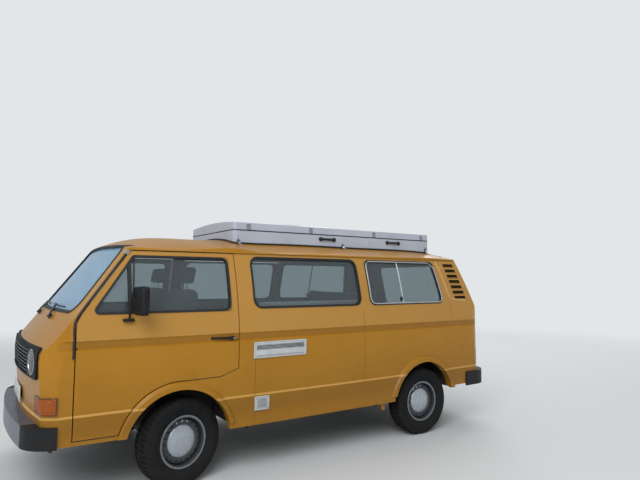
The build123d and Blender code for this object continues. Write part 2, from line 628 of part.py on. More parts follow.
dish_section = [
    (RIM_RADIUS - 10.0, 22.0),
    (154.0, 42.0),
    (132.0, 46.0),
    (112.0, 34.0),
    (78.0, 22.0),
    (SPINDLE_RADIUS + SEAT_GAP, 20.0),
    (SPINDLE_RADIUS + SEAT_GAP, -30.0),
    (HUB_RADIUS, -30.0),
    (HUB_RADIUS, 14.0),
    (80.0, 16.0),
    (116.0, 28.0),
    (134.0, 40.0),
    (152.0, 36.0),
    (RIM_RADIUS - 10.0, 16.0),
]


def ring(section, closing):
    """A section turned about the wheel's own axis, which lies along Y."""
    face = Face(Wire.make_polygon([(r, a, 0) for r, a in section + closing], close=True))
    return revolve(face, axis=Axis.Y, revolution_arc=360)


tyre_mirror = [(r, -a) for r, a in reversed(tyre_section)]
tyre = ring(tyre_section, tyre_mirror)
barrel_in = [
    (RIM_RADIUS - SEAT_GAP, -RIM_HALF + FLANGE_WIDTH),
    (FLANGE_RADIUS, -RIM_HALF + FLANGE_WIDTH),
    (FLANGE_RADIUS, -RIM_HALF),
    (RIM_RADIUS - 7.0, -RIM_HALF + 1.0),
    (RIM_RADIUS - 12.0, 0.0),
]
barrel_out = [(r, -a) for r, a in reversed(barrel_in[:-1])]
rim = ring(barrel_in, barrel_out) + ring(dish_section, [])
hole_place = Pos(RIM_HOLE_CIRCLE, 40, 0) * Rot(90, 0, 0)
holes = [Rot(0, i * 360 / RIM_HOLES, 0) * hole_place * Cylinder(RIM_HOLE_RADIUS, 40) for i in range(RIM_HOLES)]
rim = rim - holes
CAP_RADIUS = 76.0
cap_section = [(0.0, 19.0), (CAP_RADIUS, 19.0), (CAP_RADIUS, 30.0), (CAP_RADIUS - 8.0, 42.0), (CAP_RADIUS - 26.0, 52.0)]
cap_middle = [(20.0, 58.0), (19.0, 55.0), (0.0, 55.0)]
rim = rim + ring(cap_section, cap_middle)

# Knuckles turn on upright pins, with the wheels as they stand: turned to the left
STEER_REST = 13.0
KINGPIN_Y = 690.0
KINGPIN_RADIUS = 11.0
KNUCKLE_HALF = KINGPIN_HALF - ARM_THICK - SEAT_GAP


def stub(y_in, y_out):
    """Axle stub for a wheel on the left, on the axle's line at x = 0."""
    return Pos(0, (y_in + y_out) / 2, AXLE_Z) * Rot(90, 0, 0) * Cylinder(SPINDLE_RADIUS, y_out - y_in)


front_y = FRONT_TRACK / 2
rear_y = REAR_TRACK / 2
knuckle = block(-24, 24, KINGPIN_Y - 20, KINGPIN_Y + 24, AXLE_Z - KNUCKLE_HALF, AXLE_Z + KNUCKLE_HALF)
knuckle = knuckle + Pos(0, KINGPIN_Y + 38, AXLE_Z) * Rot(90, 0, 0) * Cylinder(66, 28)
knuckle = knuckle + stub(KINGPIN_Y, front_y + 18.0)
knuckle = knuckle + Pos(0, KINGPIN_Y, AXLE_Z) * Cylinder(KINGPIN_RADIUS, 2 * KINGPIN_HALF)
knuckle = knuckle + block(-120, -20, KINGPIN_Y - 18, KINGPIN_Y - 2, AXLE_Z - 40, AXLE_Z - 20)


def steered(shape, side_sign):
    """A front wheel's piece, turned about its upright pin and moved to the front axle."""
    pin = Pos(FRONT_AXLE_X, side_sign * KINGPIN_Y, 0) * Rot(0, 0, STEER_REST)
    return pin * Pos(0, -side_sign * KINGPIN_Y, 0) * shape


def sided(shape, side_sign):
    """A shape drawn on the left, put on the side asked for."""
    return shape if side_sign > 0 else mirrored(shape)


for side_name, side_sign in (("left", 1), ("right", -1)):
    for part_name, shape in (("tyre", tyre), ("rim", rim)):
        front_shape = sided(Pos(0, front_y, AXLE_Z) * shape, side_sign)
        rear_shape = sided(Pos(REAR_AXLE_X, rear_y, AXLE_Z) * shape, side_sign)
        nodes[f"{part_name}_front_{side_name}"] = steered(front_shape, side_sign)
        nodes[f"{part_name}_rear_{side_name}"] = rear_shape
    nodes[f"knuckle_{side_name}"] = steered(sided(knuckle, side_sign), side_sign)

# Front and rear suspension with the drive shafts
arms = []
for low_z in (AXLE_Z - KINGPIN_HALF, AXLE_Z + KINGPIN_HALF - ARM_THICK):
    eye_place = Pos(FRONT_AXLE_X, KINGPIN_Y, low_z + ARM_THICK / 2)
    eye = eye_place * Cylinder(KINGPIN_RADIUS + 12, ARM_THICK)
    shaft_end = KINGPIN_Y - KINGPIN_RADIUS
    shaft = block(FRONT_AXLE_X - ARM_HALF, FRONT_AXLE_X + ARM_HALF, 300, shaft_end, low_z, low_z + ARM_THICK)
    arms.append(eye + shaft - eye_place * Cylinder(KINGPIN_RADIUS + SEAT_GAP, 2 * ARM_THICK))
cross = block(FRONT_AXLE_X - 70, FRONT_AXLE_X + 70, -330, 330, AXLE_Z - KINGPIN_HALF, RAIL_LOW_Z - 20)
cross = cross + block(FRONT_AXLE_X - 40, FRONT_AXLE_X + 40, -330, 330, RAIL_LOW_Z - 20, AXLE_Z + KINGPIN_HALF)
cross = cross + block(FRONT_AXLE_X - 70, FRONT_AXLE_X + 70, -RAIL_Y - 20, RAIL_Y + 20, RAIL_LOW_Z - 60, RAIL_LOW_Z - SEAT_GAP)
for arm_piece in arms:
    cross = cross + arm_piece + mirrored(arm_piece)
trailing = block(REAR_AXLE_X + 40, REAR_AXLE_X + 620, 520, 590, AXLE_Z - 35, AXLE_Z + 35)
trailing = trailing + block(REAR_AXLE_X - 60, REAR_AXLE_X + 90, 520, rear_y - RIM_HALF - 30, AXLE_Z - 60, AXLE_Z + 60)
trailing = trailing + block(REAR_AXLE_X + 560, REAR_AXLE_X + 620, 360, 590, AXLE_Z - 25, RAIL_LOW_Z - SEAT_GAP)
stub_y = rear_y - RIM_HALF - 40
trailing = trailing + Pos(REAR_AXLE_X, 0, 0) * stub(stub_y, rear_y + 18.0)
ENGINE_HALF = 230.0
SHAFT_OUT_Y = 530.0
shaft_length = SHAFT_OUT_Y - ENGINE_HALF - 2 * SEAT_GAP
driveshaft = Pos(REAR_AXLE_X, (ENGINE_HALF + SHAFT_OUT_Y) / 2, AXLE_Z) * Rot(90, 0, 0) * Cylinder(22, shaft_length)
rear_set = trailing + driveshaft
nodes["suspension"] = Compound((cross).solids() + rear_set.solids() + mirrored(rear_set).solids())

# Heavy and hidden masses, tank, exhaust and the spare wheel's tray
ENGINE_REAR_X = REAR_AXLE_X - 760.0
nodes["engine_block"] = block(ENGINE_REAR_X, REAR_AXLE_X + 150, -ENGINE_HALF, ENGINE_HALF, 300, 760)
tank_half = RAIL_Y + RAIL_HALF - 8.0
tank = block(FRONT_AXLE_X - 1180, FRONT_AXLE_X - 620, -tank_half, tank_half, 250, RAIL_LOW_Z - SEAT_GAP)
nodes["fuel_tank"] = fillet(tank.edges(), 24)
MUFFLER_RADIUS = 78.0
MUFFLER_X = ENGINE_REAR_X - MUFFLER_RADIUS - 8.0
MUFFLER_Z = 345.0
muffler = Pos(MUFFLER_X, -40, MUFFLER_Z) * Rot(90, 0, 0) * Cylinder(MUFFLER_RADIUS, 620)
tail_pipe = Pos(MUFFLER_X - 90, 200, MUFFLER_Z - 20) * Rot(0, 90, 0) * Cylinder(22, 160)
engine_pipe = Pos((MUFFLER_X + ENGINE_REAR_X - SEAT_GAP) / 2, -120, MUFFLER_Z + 10) * Rot(0, 90, 0)
engine_pipe = engine_pipe * Cylinder(26, ENGINE_REAR_X - SEAT_GAP - MUFFLER_X)
nodes["exhaust_system"] = muffler + tail_pipe + engine_pipe
SPARE_DEPTH = 110.0
spare = Pos(FRONT_AXLE_X + 660, 0, RAIL_LOW_Z - SEAT_GAP - SPARE_DEPTH / 2) * Cylinder(300, SPARE_DEPTH)
nodes["spare_wheel_tray"] = fillet(spare.edges().group_by(Axis.Z)[0], 20)

# Cab: dashboard, steering wheel, seats
DASH_X = FRONT_AXLE_X + 690.0
dash = block(DASH_X - 40, FRONT_X, -1000, 1000, 950, 1195) & inside
DASH_UNDER_Z = 1100.0
dash = dash - (block(DASH_X - 100, DASH_X + 120, -1000, 1000, 900, DASH_UNDER_Z))
dash = dash - along_y(flat([(DASH_X - 41, 1150), (DASH_X + 60, 1196), (DASH_X - 41, 1196)]), -1000, 1000)
nodes["dashboard"] = dash
WHEEL_Y = 400.0
STEERING_TILT = 58.0
wheel_place = Pos(DASH_X - 170, WHEEL_Y, 1165) * Rot(0, -(90 - STEERING_TILT), 0)
steering = wheel_place * (Torus(195, 13) + Box(380, 34, 10) + Cylinder(48, 36))
column = wheel_place * Pos(0, 0, -160) * Cylinder(24, 320)
bracket = block(DASH_X - 36, DASH_X + 24, WHEEL_Y - 30, WHEEL_Y + 30, 880, DASH_UNDER_Z - SEAT_GAP)
nodes["steering_wheel"] = (steering + column + bracket) - dash
seats = []
CAB_SEAT_X = FRONT_AXLE_X + 150.0
SEAT_BASE_Z = BOX_TOP_Z + BOX_SHEET + SEAT_GAP
for y in (WHEEL_Y, -WHEEL_Y):
    cushion = block(CAB_SEAT_X - 250, CAB_SEAT_X + 250, y - 240, y + 240, SEAT_BASE_Z, SEAT_BASE_Z + 150)
    back = Pos(CAB_SEAT_X - 265, y, SEAT_BASE_Z + 420) * Rot(0, -12, 0) * Box(120, 470, 620)
    head = Pos(CAB_SEAT_X - 345, y, SEAT_BASE_Z + 815) * Rot(0, -12, 0) * Box(80, 270, 150)
    seat = fillet(cushion.edges(), 40) + fillet(back.edges(), 35) + fillet(head.edges(), 30)
    for post_y in (y - 60, y + 60):
        seat = seat + Pos(CAB_SEAT_X - 328, post_y, SEAT_BASE_Z + 735) * Rot(0, -12, 0) * Cylinder(6, 160)
    seats.append(seat)
BENCH_X = FRONT_AXLE_X + FLOOR_REAR + FLOOR_SHEET
bench = block(BENCH_X + SEAT_GAP, BENCH_X + 520, -520, 700, FLOOR_Z + SEAT_GAP, FLOOR_Z + 430)
bench_back = Pos(BENCH_X - 40, 90, DECK_Z + 300) * Rot(0, -10, 0) * Box(120, 1160, 520)
seats += [fillet(bench.edges(), 30), fillet(bench_back.edges(), 40)]
nodes["seats"] = Compound(seats)
cabinet_space = hull(WALL + 4.0, bottom=NOSE_BOTTOM_Z)
cabinet = block(FRONT_AXLE_X - 1860, FRONT_AXLE_X - 640, 560, 1000, FLOOR_Z + SEAT_GAP, 1262) & cabinet_space
nodes["kitchen_cabinet"] = cabinet - block(BENCH_X - 10, BENCH_X + 530, -560, 710, FLOOR_Z - 50, FLOOR_Z + 440)

# Vents of the fridge and the water service flap on the left side
vent_faces = [
    [(-573, 886), (-1062, 886), (-1062, 1016), (-573, 1016)],
    [(-585, 480), (-716, 480), (-716, 590), (-585, 590)],
]
vent_skins = (hull(-9.0), trim_back)
nodes["side_vents"] = Compound([layer(along_y(flat(ahead(face), 10.0), 400, 1200), vent_skins) for face in vent_faces])

# Hard box on the roof: tray with its seal, lid on side hinges, latches and clamps
BOX_FRONT = -565.0
BOX_REAR = -2925.0
BOX_HALF = 512.0
BOX_WALL = 22.0
TRAY_LOW_Z = 1780.0
TRAY_TOP_Z = 1942.0
LID_SEAL = 8.0
LID_TOP_Z = 2012.0
LID_CROWN = 24.0
FOOT_SEAL = 7.0
BOX_R = 34.0


def box_plan(inset):
    """Outline of the roof box seen from above."""
    x0, x1 = FRONT_AXLE_X + BOX_REAR + inset, FRONT_AXLE_X + BOX_FRONT - inset
    y = BOX_HALF - inset
    return flat([(x0, -y), (x1, -y), (x1, y), (x0, y)], BOX_R - inset)


foot = hull(-FOOT_SEAL)
tray_block = along_z(box_plan(0.0), TRAY_LOW_Z, TRAY_TOP_Z)
tray_inside = along_z(box_plan(BOX_WALL), TRAY_LOW_Z - 10, TRAY_TOP_Z + 10)
tray_floor = along_z(box_plan(BOX_WALL - 1.0), ROOF_Z + FOOT_SEAL + 1.0, ROOF_Z + FOOT_SEAL + 6.0)
nodes["roof_tray"] = (tray_block - foot) - tray_inside + tray_floor
foot_ring = layer(tray_block, (foot, hull(-SEAT_GAP))) - tray_inside
lid_ring = along_z(box_plan(-2.0), TRAY_TOP_Z, TRAY_TOP_Z + LID_SEAL) - tray_inside
lid_ring = lid_ring - along_z(box_plan(BOX_WALL), TRAY_TOP_Z - 1, TRAY_TOP_Z + LID_SEAL + 1)
nodes["tray_seals"] = Compound([foot_ring, lid_ring])
lid_low = TRAY_TOP_Z + LID_SEAL + SEAT_GAP
crown_r = BOX_HALF ** 2 / (2 * LID_CROWN)
lid_x0, lid_x1 = FRONT_AXLE_X + BOX_REAR, FRONT_AXLE_X + BOX_FRONT
crown_place = Pos((lid_x0 + lid_x1) / 2, 0, LID_TOP_Z + LID_CROWN - crown_r) * Rot(0, 90, 0)
lid_crown = crown_place * Cylinder(crown_r, lid_x1 - lid_x0 + 100)
lid_core = crown_place * Cylinder(crown_r - 10, lid_x1 - lid_x0 + 100)
lid = along_z(box_plan(0.0), lid_low, LID_TOP_Z + LID_CROWN + 5) & lid_crown
nodes["roof_lid"] = lid - (along_z(box_plan(BOX_WALL), lid_low - 5, LID_TOP_Z + LID_CROWN) & lid_core)
latches = []
LATCH_X = [-707.0, -1362.0, -2136.0, -2807.0]
for x in LATCH_X:
    latch_x = FRONT_AXLE_X + x
    latches.append(block(latch_x - 18, latch_x + 18, BOX_HALF + SEAT_GAP, BOX_HALF + 14, lid_low + 2, lid_low + 46))
nodes["lid_latches"] = Compound(latches)
CLAMP_X = [-610.0, -1735.0, -2870.0]
clamps = []
for x in CLAMP_X:
    x0, x1 = FRONT_AXLE_X + x - 20, FRONT_AXLE_X + x + 20
    zone = block(x0, x1, BOX_HALF + SEAT_GAP, BOX_HALF + 150, GUTTER_Z + 30, 1960)
    strap = layer(zone, (hull(-16.0), hull(-SEAT_GAP)))
    upright = block(x0, x1, BOX_HALF + SEAT_GAP, BOX_HALF + 12, 1800, 1850) - hull(-SEAT_GAP)
    clamp = strap + upright
    clamps += [clamp, mirrored(clamp)]
nodes["roof_clamps"] = Compound(clamps)

# The right cab door is the left one seen in a mirror
for suffix in ("", "_seal", "_glass", "_fittings"):
    nodes["door_right" + suffix] = mirrored(nodes["door_left" + suffix])

os.makedirs("parts", exist_ok=True)
for name, shape in nodes.items():
    export_step(shape, f"parts/{name}.step")
    print(name, shape.is_valid, len(shape.solids()), round(shape.volume / 1e6, 2))
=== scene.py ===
import math
import bmesh
import bpy
from mathutils import Matrix, Vector
from mathutils.bvhtree import BVHTree


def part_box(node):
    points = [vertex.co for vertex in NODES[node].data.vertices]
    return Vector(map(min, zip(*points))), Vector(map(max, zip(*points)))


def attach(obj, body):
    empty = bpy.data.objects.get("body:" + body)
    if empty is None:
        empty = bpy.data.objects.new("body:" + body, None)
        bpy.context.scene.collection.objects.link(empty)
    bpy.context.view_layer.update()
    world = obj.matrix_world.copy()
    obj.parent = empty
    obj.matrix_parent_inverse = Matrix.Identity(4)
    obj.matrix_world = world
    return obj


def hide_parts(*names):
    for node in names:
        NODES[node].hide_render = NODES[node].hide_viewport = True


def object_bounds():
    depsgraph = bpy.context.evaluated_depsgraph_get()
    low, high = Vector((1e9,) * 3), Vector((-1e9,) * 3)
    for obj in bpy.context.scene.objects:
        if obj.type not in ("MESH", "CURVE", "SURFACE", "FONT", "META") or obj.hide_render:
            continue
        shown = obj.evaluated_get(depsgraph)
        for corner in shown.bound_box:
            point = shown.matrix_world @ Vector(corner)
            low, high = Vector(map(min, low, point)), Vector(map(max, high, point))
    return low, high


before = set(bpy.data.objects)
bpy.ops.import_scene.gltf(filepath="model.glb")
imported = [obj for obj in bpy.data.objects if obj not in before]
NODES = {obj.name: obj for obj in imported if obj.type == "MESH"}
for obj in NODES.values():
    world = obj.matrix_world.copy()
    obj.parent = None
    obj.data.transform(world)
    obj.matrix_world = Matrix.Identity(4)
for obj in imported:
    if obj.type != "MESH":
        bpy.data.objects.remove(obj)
cad_box = [list(corner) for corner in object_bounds()]
SIDES = ((1, "left"), (-1, "right"))

# Places the van is measured from, in metres
FRONT_AXLE = 1.225
REAR_AXLE = -1.235
AXLE_Z = 0.318
FRONT_TRACK_HALF = 0.7925
REAR_TRACK_HALF = 0.785
KINGPIN_Y = 0.690
STEER_REST = math.radians(13.0)
TYRE_R = 0.318
LAMP_Y = 0.640
LAMP_Z = 0.950
BELT_Z = 1.090
LEDGE_Z = 0.604
HANDLE_Z = 1.060

# ---- Camera and light -------------------------------------------------------

# The camera fitted to the photograph
VIEW_YAW, VIEW_PITCH, VIEW_ROLL = (math.radians(v) for v in (33.679, 4.342, 0.225))
VIEW_FROM = (2.5552, 4.7112, 1.5106)
LENS_PX, PICTURE_PX = 525.0, 640.0
PALE_SKY = "#e3e6e8"


def place_camera():
    """The photograph's view: front left, at the height of the belt, a little upwards."""
    look = Vector((-math.sin(VIEW_YAW) * math.cos(VIEW_PITCH), -math.cos(VIEW_YAW) * math.cos(VIEW_PITCH),
                   math.sin(VIEW_PITCH)))
    right = look.cross(Vector((0, 0, 1))).normalized()
    up = right.cross(look)
    cos, sin = math.cos(VIEW_ROLL), math.sin(VIEW_ROLL)
    right, up = right * cos + up * sin, up * cos - right * sin
    data = bpy.data.cameras.new("camera")
    data.sensor_width = 36.0
    data.lens = 36.0 * LENS_PX / PICTURE_PX
    data.clip_end = 200.0
    camera = bpy.data.objects.new("camera", data)
    camera.matrix_world = Matrix.Translation(VIEW_FROM) @ Matrix((right, up, -look)).transposed().to_4x4()
    bpy.context.collection.objects.link(camera)
    bpy.context.scene.camera = camera


def linear(code):
    """A colour written as sRGB hex, as the linear colour that a shader takes."""
    parts = [int(code[i:i + 2], 16) / 255.0 for i in (1, 3, 5)]
    return tuple(c / 12.92 if c <= 0.04045 else ((c + 0.055) / 1.055) ** 2.4 for c in parts) + (1.0,)


def add(tree, kind, settings=None, **links):
    """One shader node; a link is a plain value or another node's output."""
    node = tree.nodes.new(kind)
    for key, value in (settings or {}).items():
        setattr(node, key, value)
    for key, value in links.items():
        numbered = key[0] == "i" and key[1:].isdigit()
        socket = node.inputs[int(key[1:]) if numbered else key.replace("_", " ")]
        if isinstance(value, bpy.types.NodeSocket):
            tree.links.new(value, socket)
        else:
            socket.default_value = value
    return node


def material(name):
    """A new material with an empty node tree."""
    made = bpy.data.materials.new(name)
    made.use_nodes = True
    made.node_tree.nodes.clear()
    return made, made.node_tree


def finished(made, shader):
    """Joins a shader to its material's output."""
    add(made.node_tree, "ShaderNodeOutputMaterial", Surface=shader)
    return made


def here(tree):
    """Places in the object's own metres."""
    return add(tree, "ShaderNodeTexCoord").outputs["Object"]


def maths(tree, operation, *values, kind="ShaderNodeMath", out=0):
    """A sum on one value or two."""
    links = {f"i{at}": value for at, value in enumerate(values)}
    return add(tree, kind, {"operation": operation}, **links).outputs[out]


def vectors(tree, operation, *places, out="Vector"):
    """A sum on one place or two."""
    return maths(tree, operation, *places, kind="ShaderNodeVectorMath", out=out)


def ranged(tree, value, start, stop, low, high):
    """A value carried from one range to another and held inside it."""
    return add(tree, "ShaderNodeMapRange", Value=value, i1=start, i2=stop, i3=low, i4=high).outputs[0]


def tinted(tree, share, colour, code):
    """A colour with a share of another in it."""
    return add(tree, "ShaderNodeMix", {"data_type": "RGBA"}, i0=share, i6=colour, i7=linear(code)).outputs[2]


def both(tree, share, first, second):
    """Two shaders mixed."""
    return add(tree, "ShaderNodeMixShader", Fac=share, i1=first, i2=second).outputs[0]


def principled(tree, **values):
    """The shader of most materials."""
    return add(tree, "ShaderNodeBsdfPrincipled", **values).outputs[0]


def bump(tree, height, distance, strength):
    """Small relief from a height."""
    return add(tree, "ShaderNodeBump", Height=height, Distance=distance, Strength=strength).outputs[0]


def light(name, place, target, size, watts):
    """A soft square lamp aimed at a point."""
    data = bpy.data.lights.new(name, "AREA")
    data.size = size
    data.energy = watts
    lamp = bpy.data.objects.new(name, data)
    lamp.location = place
    lamp.rotation_euler = (Vector(target) - Vector(place)).to_track_quat("-Z", "Y").to_euler()
    bpy.context.collection.objects.link(lamp)


def build_stage():
    """Pale floor, pale surroundings and soft lamps."""
    world = bpy.data.worlds.new("pale_sky")
    bpy.context.scene.world = world
    world.use_nodes = True
    tree = world.node_tree
    tree.nodes.clear()
    path = add(tree, "ShaderNodeLightPath").outputs
    seen = maths(tree, "MAXIMUM", path["Is Camera Ray"], path["Is Transmission Ray"])
    plain = add(tree, "ShaderNodeBackground", Color=linear("#e4e8ec"), Strength=0.62).outputs[0]
    shown = add(tree, "ShaderNodeBackground", Color=linear(PALE_SKY), Strength=1.0).outputs[0]
    add(tree, "ShaderNodeOutputWorld", Surface=both(tree, seen, plain, shown))
    mesh = bpy.data.meshes.new("floor")
    bm = bmesh.new()
    bmesh.ops.create_grid(bm, x_segments=1, y_segments=1, size=60.0)
    bm.to_mesh(mesh)
    bm.free()
    floor = bpy.data.objects.new("floor", mesh)
    bpy.context.collection.objects.link(floor)
    pale, tree = material("painted_concrete_floor")
    matt = principled(tree, Base_Color=linear("#d6d8d9"), Roughness=0.9, Specular_IOR_Level=0.2)
    # Far from the van the floor goes over into the pale surroundings, so no edge shows
    away = vectors(tree, "LENGTH", here(tree), out="Value")
    fade = add(tree, "ShaderNodeMapRange", {"interpolation_type": "SMOOTHSTEP"}, Value=away,
               i1=4.5, i2=14.0, i3=0.0, i4=1.0).outputs[0]
    haze = add(tree, "ShaderNodeEmission", Color=linear(PALE_SKY), Strength=1.0).outputs[0]
    mesh.materials.append(finished(pale, both(tree, fade, matt, haze)))
    light("sky_front_left", (6.5, 7.0, 8.0), (0.3, 0.4, 0.8), 7.0, 780.0)
    light("sky_rear", (-7.0, -4.0, 8.0), (0.0, 0.0, 0.8), 7.0, 420.0)


place_camera()
bpy.context.scene.view_settings.view_transform = "Standard"
build_stage()

# ---- Materials --------------------------------------------------------------


def noise(tree, place, size_mm, detail=3.0, rough=0.55):
    """Soft noise whose blotches are about the size given."""
    return add(tree, "ShaderNodeTexNoise", Vector=place, Scale=1000.0 / size_mm, Detail=detail,
               Roughness=rough).outputs["Fac"]


def ramp(tree, value, tones):
    """Colours for a value from 0 to 1: two codes, or codes by place."""
    stops = tones if isinstance(tones, dict) else dict(zip((0.3, 0.7), tones))
    node = add(tree, "ShaderNodeValToRGB", Fac=value)
    while len(node.color_ramp.elements) < len(stops):
        node.color_ramp.elements.new(0.5)
    for element, (at, code) in zip(node.color_ramp.elements, stops.items()):
        element.position = at
        element.color = linear(code)
    return node.outputs["Color"]


def surface(name, tones, size_mm, roughness, spread=0.0, grain_mm=0.0, grain_size_mm=2.0, metallic=0.0,
            coat=0.0, dust=0.0, **fixed):
    """A plain finish: blotchy colour, uneven roughness, a fine grain and dust towards the ground."""
    made, tree = material(name)
    place = here(tree)
    colour = ramp(tree, noise(tree, place, size_mm), tones)
    if dust:
        height = add(tree, "ShaderNodeSeparateXYZ", Vector=place).outputs["Z"]
        low = ranged(tree, height, 0.75, 0.15, 0.0, dust)
        share = maths(tree, "MULTIPLY", low, noise(tree, place, 45.0, 6.0, 0.7))
        colour = tinted(tree, share, colour, "#6d675c")
    fixed["Roughness"] = roughness
    if spread:
        fine = noise(tree, place, size_mm * 0.4, 4.0)
        fixed["Roughness"] = ranged(tree, fine, 0.3, 0.7, roughness - spread, roughness + spread)
    if grain_mm:
        fixed["Normal"] = bump(tree, noise(tree, place, grain_size_mm), grain_mm / 1000.0, 1.0)
    return finished(made, principled(tree, Base_Color=colour, Metallic=metallic, Coat_Weight=coat, **fixed))


# Bands of painted shade under the creases: top, softness of the lower edge, depth and share
PAINTED_SHADE_BANDS = [(BELT_Z, 0.012, 0.045, 0.45), (LEDGE_Z - 0.006, 0.10, 0.09, 0.50)]
# Seams of the side panels: place along the van, lowest and highest point
SIDE_SEAMS = [(0.632, 0.42, 1.03), (-0.470, 0.60, 1.24), (-1.640, 1.11, 1.24)]


def body_enamel():
    """Mustard enamel on steel: clear gloss with faint waves, darker and rougher towards the sill, painted
    sheen above the belt crease, painted shade under the creases, a painted highlight on the lower ledge, trim
    board inside.
    """
    made, tree = material("mustard_enamel")
    coords = here(tree)
    xyz = add(tree, "ShaderNodeSeparateXYZ", Vector=coords).outputs
    along, height = xyz["X"], xyz["Z"]
    blotches = noise(tree, coords, 420.0, 4.0, 0.6)
    colour = ramp(tree, blotches, {0.25: "#a47010", 0.55: "#ab7616", 0.8: "#af7b1c"})
    # Darker and rougher towards the sill, in blotches
    low = ranged(tree, height, 0.95, 0.36, 0.0, 0.55)
    low_down_mask = maths(tree, "MULTIPLY", low, noise(tree, coords, 60.0, 8.0, 0.7))
    colour = tinted(tree, low_down_mask, colour, "#5f4513")
    streaks = add(tree, "ShaderNodeMapping", Vector=coords, Scale=(1.0, 1.0, 0.05)).outputs[0]
    wash = ranged(tree, noise(tree, streaks, 28.0, 5.0, 0.65), 0.55, 0.78, 0.0, 0.16)
    colour = tinted(tree, wash, colour, "#8c6a2e")
    # Painted sky sheen above the belt crease, painted shade under it and below the lower ledge
    upper = ranged(tree, height, 1.088, 1.098, 0.0, 0.50)
    below_roof = ranged(tree, height, 1.715, 1.735, 1.0, 0.0)
    behind_nose = ranged(tree, along, 1.93, 1.99, 1.0, 0.0)
    upper = maths(tree, "MULTIPLY", maths(tree, "MULTIPLY", upper, below_roof), behind_nose)
    # Painted sheen: paler above the belt crease, not on the roof or the nose
    colour = tinted(tree, upper, colour, "#bd9152")
    # Painted shade: a darker band under the belt crease, from the door's front edge back, and under the lower
    # ledge
    for top, soft, depth, share in PAINTED_SHADE_BANDS:
        under = ranged(tree, height, top, top - 0.006, 0.0, share)
        ends = ranged(tree, height, top - depth, top - depth - soft, 1.0, 0.0)
        band = maths(tree, "MULTIPLY", under, ends)
        if top == BELT_Z:
            door_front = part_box("door_left")[1][0]
            on_door = ranged(tree, along, door_front - 0.004, door_front + 0.002, 1.0, 0.0)
            band = maths(tree, "MULTIPLY", band, on_door)
        colour = tinted(tree, band, colour, "#7d5510")
    # Painted highlight on the narrow shelf at the lower ledge, where it faces the sky
    off_shelf = maths(tree, "ABSOLUTE", maths(tree, "SUBTRACT", height, LEDGE_Z))
    colour = tinted(tree, ranged(tree, off_shelf, 0.0050, 0.0085, 0.60, 0.0), colour, "#d3a65c")
    groove = None
    for place, z0, z1 in SIDE_SEAMS:
        near = maths(tree, "ABSOLUTE", maths(tree, "SUBTRACT", along, place))
        line = ranged(tree, near, 0.0012, 0.0035, 1.0, 0.0)
        line = maths(tree, "MULTIPLY", line, maths(tree, "GREATER_THAN", height, z0))
        line = maths(tree, "MULTIPLY", line, maths(tree, "LESS_THAN", height, z1))
        groove = line if groove is None else maths(tree, "MAXIMUM", groove, line)
    colour = tinted(tree, groove, colour, "#7a5417")
    outside = principled(tree, Base_Color=colour, Roughness=ranged(tree, low_down_mask, 0.0, 0.5, 0.30, 0.62),
                         Normal=bump(tree, noise(tree, coords, 95.0, 2.0), 0.0009, 0.35), Coat_Weight=0.12,
                         Coat_Roughness=0.10, Specular_IOR_Level=0.26)
    # The inner faces of the walls carry grained trim board
    board = ramp(tree, noise(tree, coords, 7.0, 4.0), ("#77726a", "#837e75"))
    inside = principled(tree, Base_Color=board, Roughness=0.72)
    centre = vectors(tree, "SUBTRACT", coords, (0.0, 0.0, 1.15))
    outward = vectors(tree, "NORMALIZE", vectors(tree, "MULTIPLY", centre, (0.30, 1.0, 1.0)))
    normal = add(tree, "ShaderNodeNewGeometry").outputs["Normal"]
    facing = vectors(tree, "DOT_PRODUCT", normal, outward, out="Value")
    return finished(made, both(tree, maths(tree, "LESS_THAN", facing, -0.45), outside, inside))


def window_glass(name, code, painted_sky_code, painted_sky_share):
    """Float glass, faintly green, smooth; a share of it is a painted reflection of the pale sky, as flat
    diffuse colour.
    """
    made, tree = material(name)
    clear = principled(tree, Base_Color=linear(code), Roughness=0.015, IOR=1.5, Transmission_Weight=1.0)
    # Painted reflection: a flat pale diffuse share for the sky seen in the glass
    sky = add(tree, "ShaderNodeBsdfDiffuse", Color=linear(painted_sky_code)).outputs[0]
    return finished(made, both(tree, painted_sky_share, clear, sky))


def lens(name, code, ribs_mm, through=0.35):
    """Moulded acrylic lens with upright flutes on its inner face."""
    made, tree = material(name)
    ribs_scale = 1000.0 / ribs_mm / 20.0 * 3.14159
    wave = add(tree, "ShaderNodeTexWave", {"bands_direction": "Y"}, Vector=here(tree), Scale=ribs_scale)
    flutes = bump(tree, wave.outputs["Fac"], 0.0015, 0.8)
    return finished(made, principled(tree, Base_Color=linear(code), Roughness=0.12, IOR=1.49, Normal=flutes,
                                     Transmission_Weight=through, Specular_IOR_Level=0.35))


def seat_cloth():
    """Woven wool-blend cloth: grey, matt, threads about 1.5 mm apart, drawn coarser to show."""
    made, tree = material("woven_seat_cloth")
    coords = here(tree)
    warp, weft = (add(tree, "ShaderNodeTexWave", {"bands_direction": way}, Vector=coords, Scale=110.0,
                      Distortion=0.6).outputs["Fac"] for way in "YZ")
    weave = maths(tree, "MULTIPLY", warp, weft)
    colour = tinted(tree, weave, ramp(tree, noise(tree, coords, 90.0), ("#5a5b60", "#6a6b6f")), "#86878a")
    return finished(made, principled(tree, Base_Color=colour, Roughness=0.9, Sheen_Weight=0.35,
                                     Normal=bump(tree, weave, 0.0008, 0.8)))


def cabinet_laminate():
    """Wood-grain laminate on board: straight brown grain under a satin film."""
    made, tree = material("woodgrain_laminate")
    stretched = add(tree, "ShaderNodeMapping", Vector=here(tree), Scale=(0.12, 1.0, 1.0)).outputs[0]
    grain = add(tree, "ShaderNodeTexNoise", Vector=stretched, Scale=120.0, Detail=8.0, Roughness=0.6,
                Distortion=0.8).outputs["Fac"]
    colour = ramp(tree, grain, {0.3: "#7b5a39", 0.5: "#94714a", 0.7: "#a98558"})
    return finished(made, principled(tree, Base_Color=colour, Roughness=0.42, Coat_Weight=0.15))


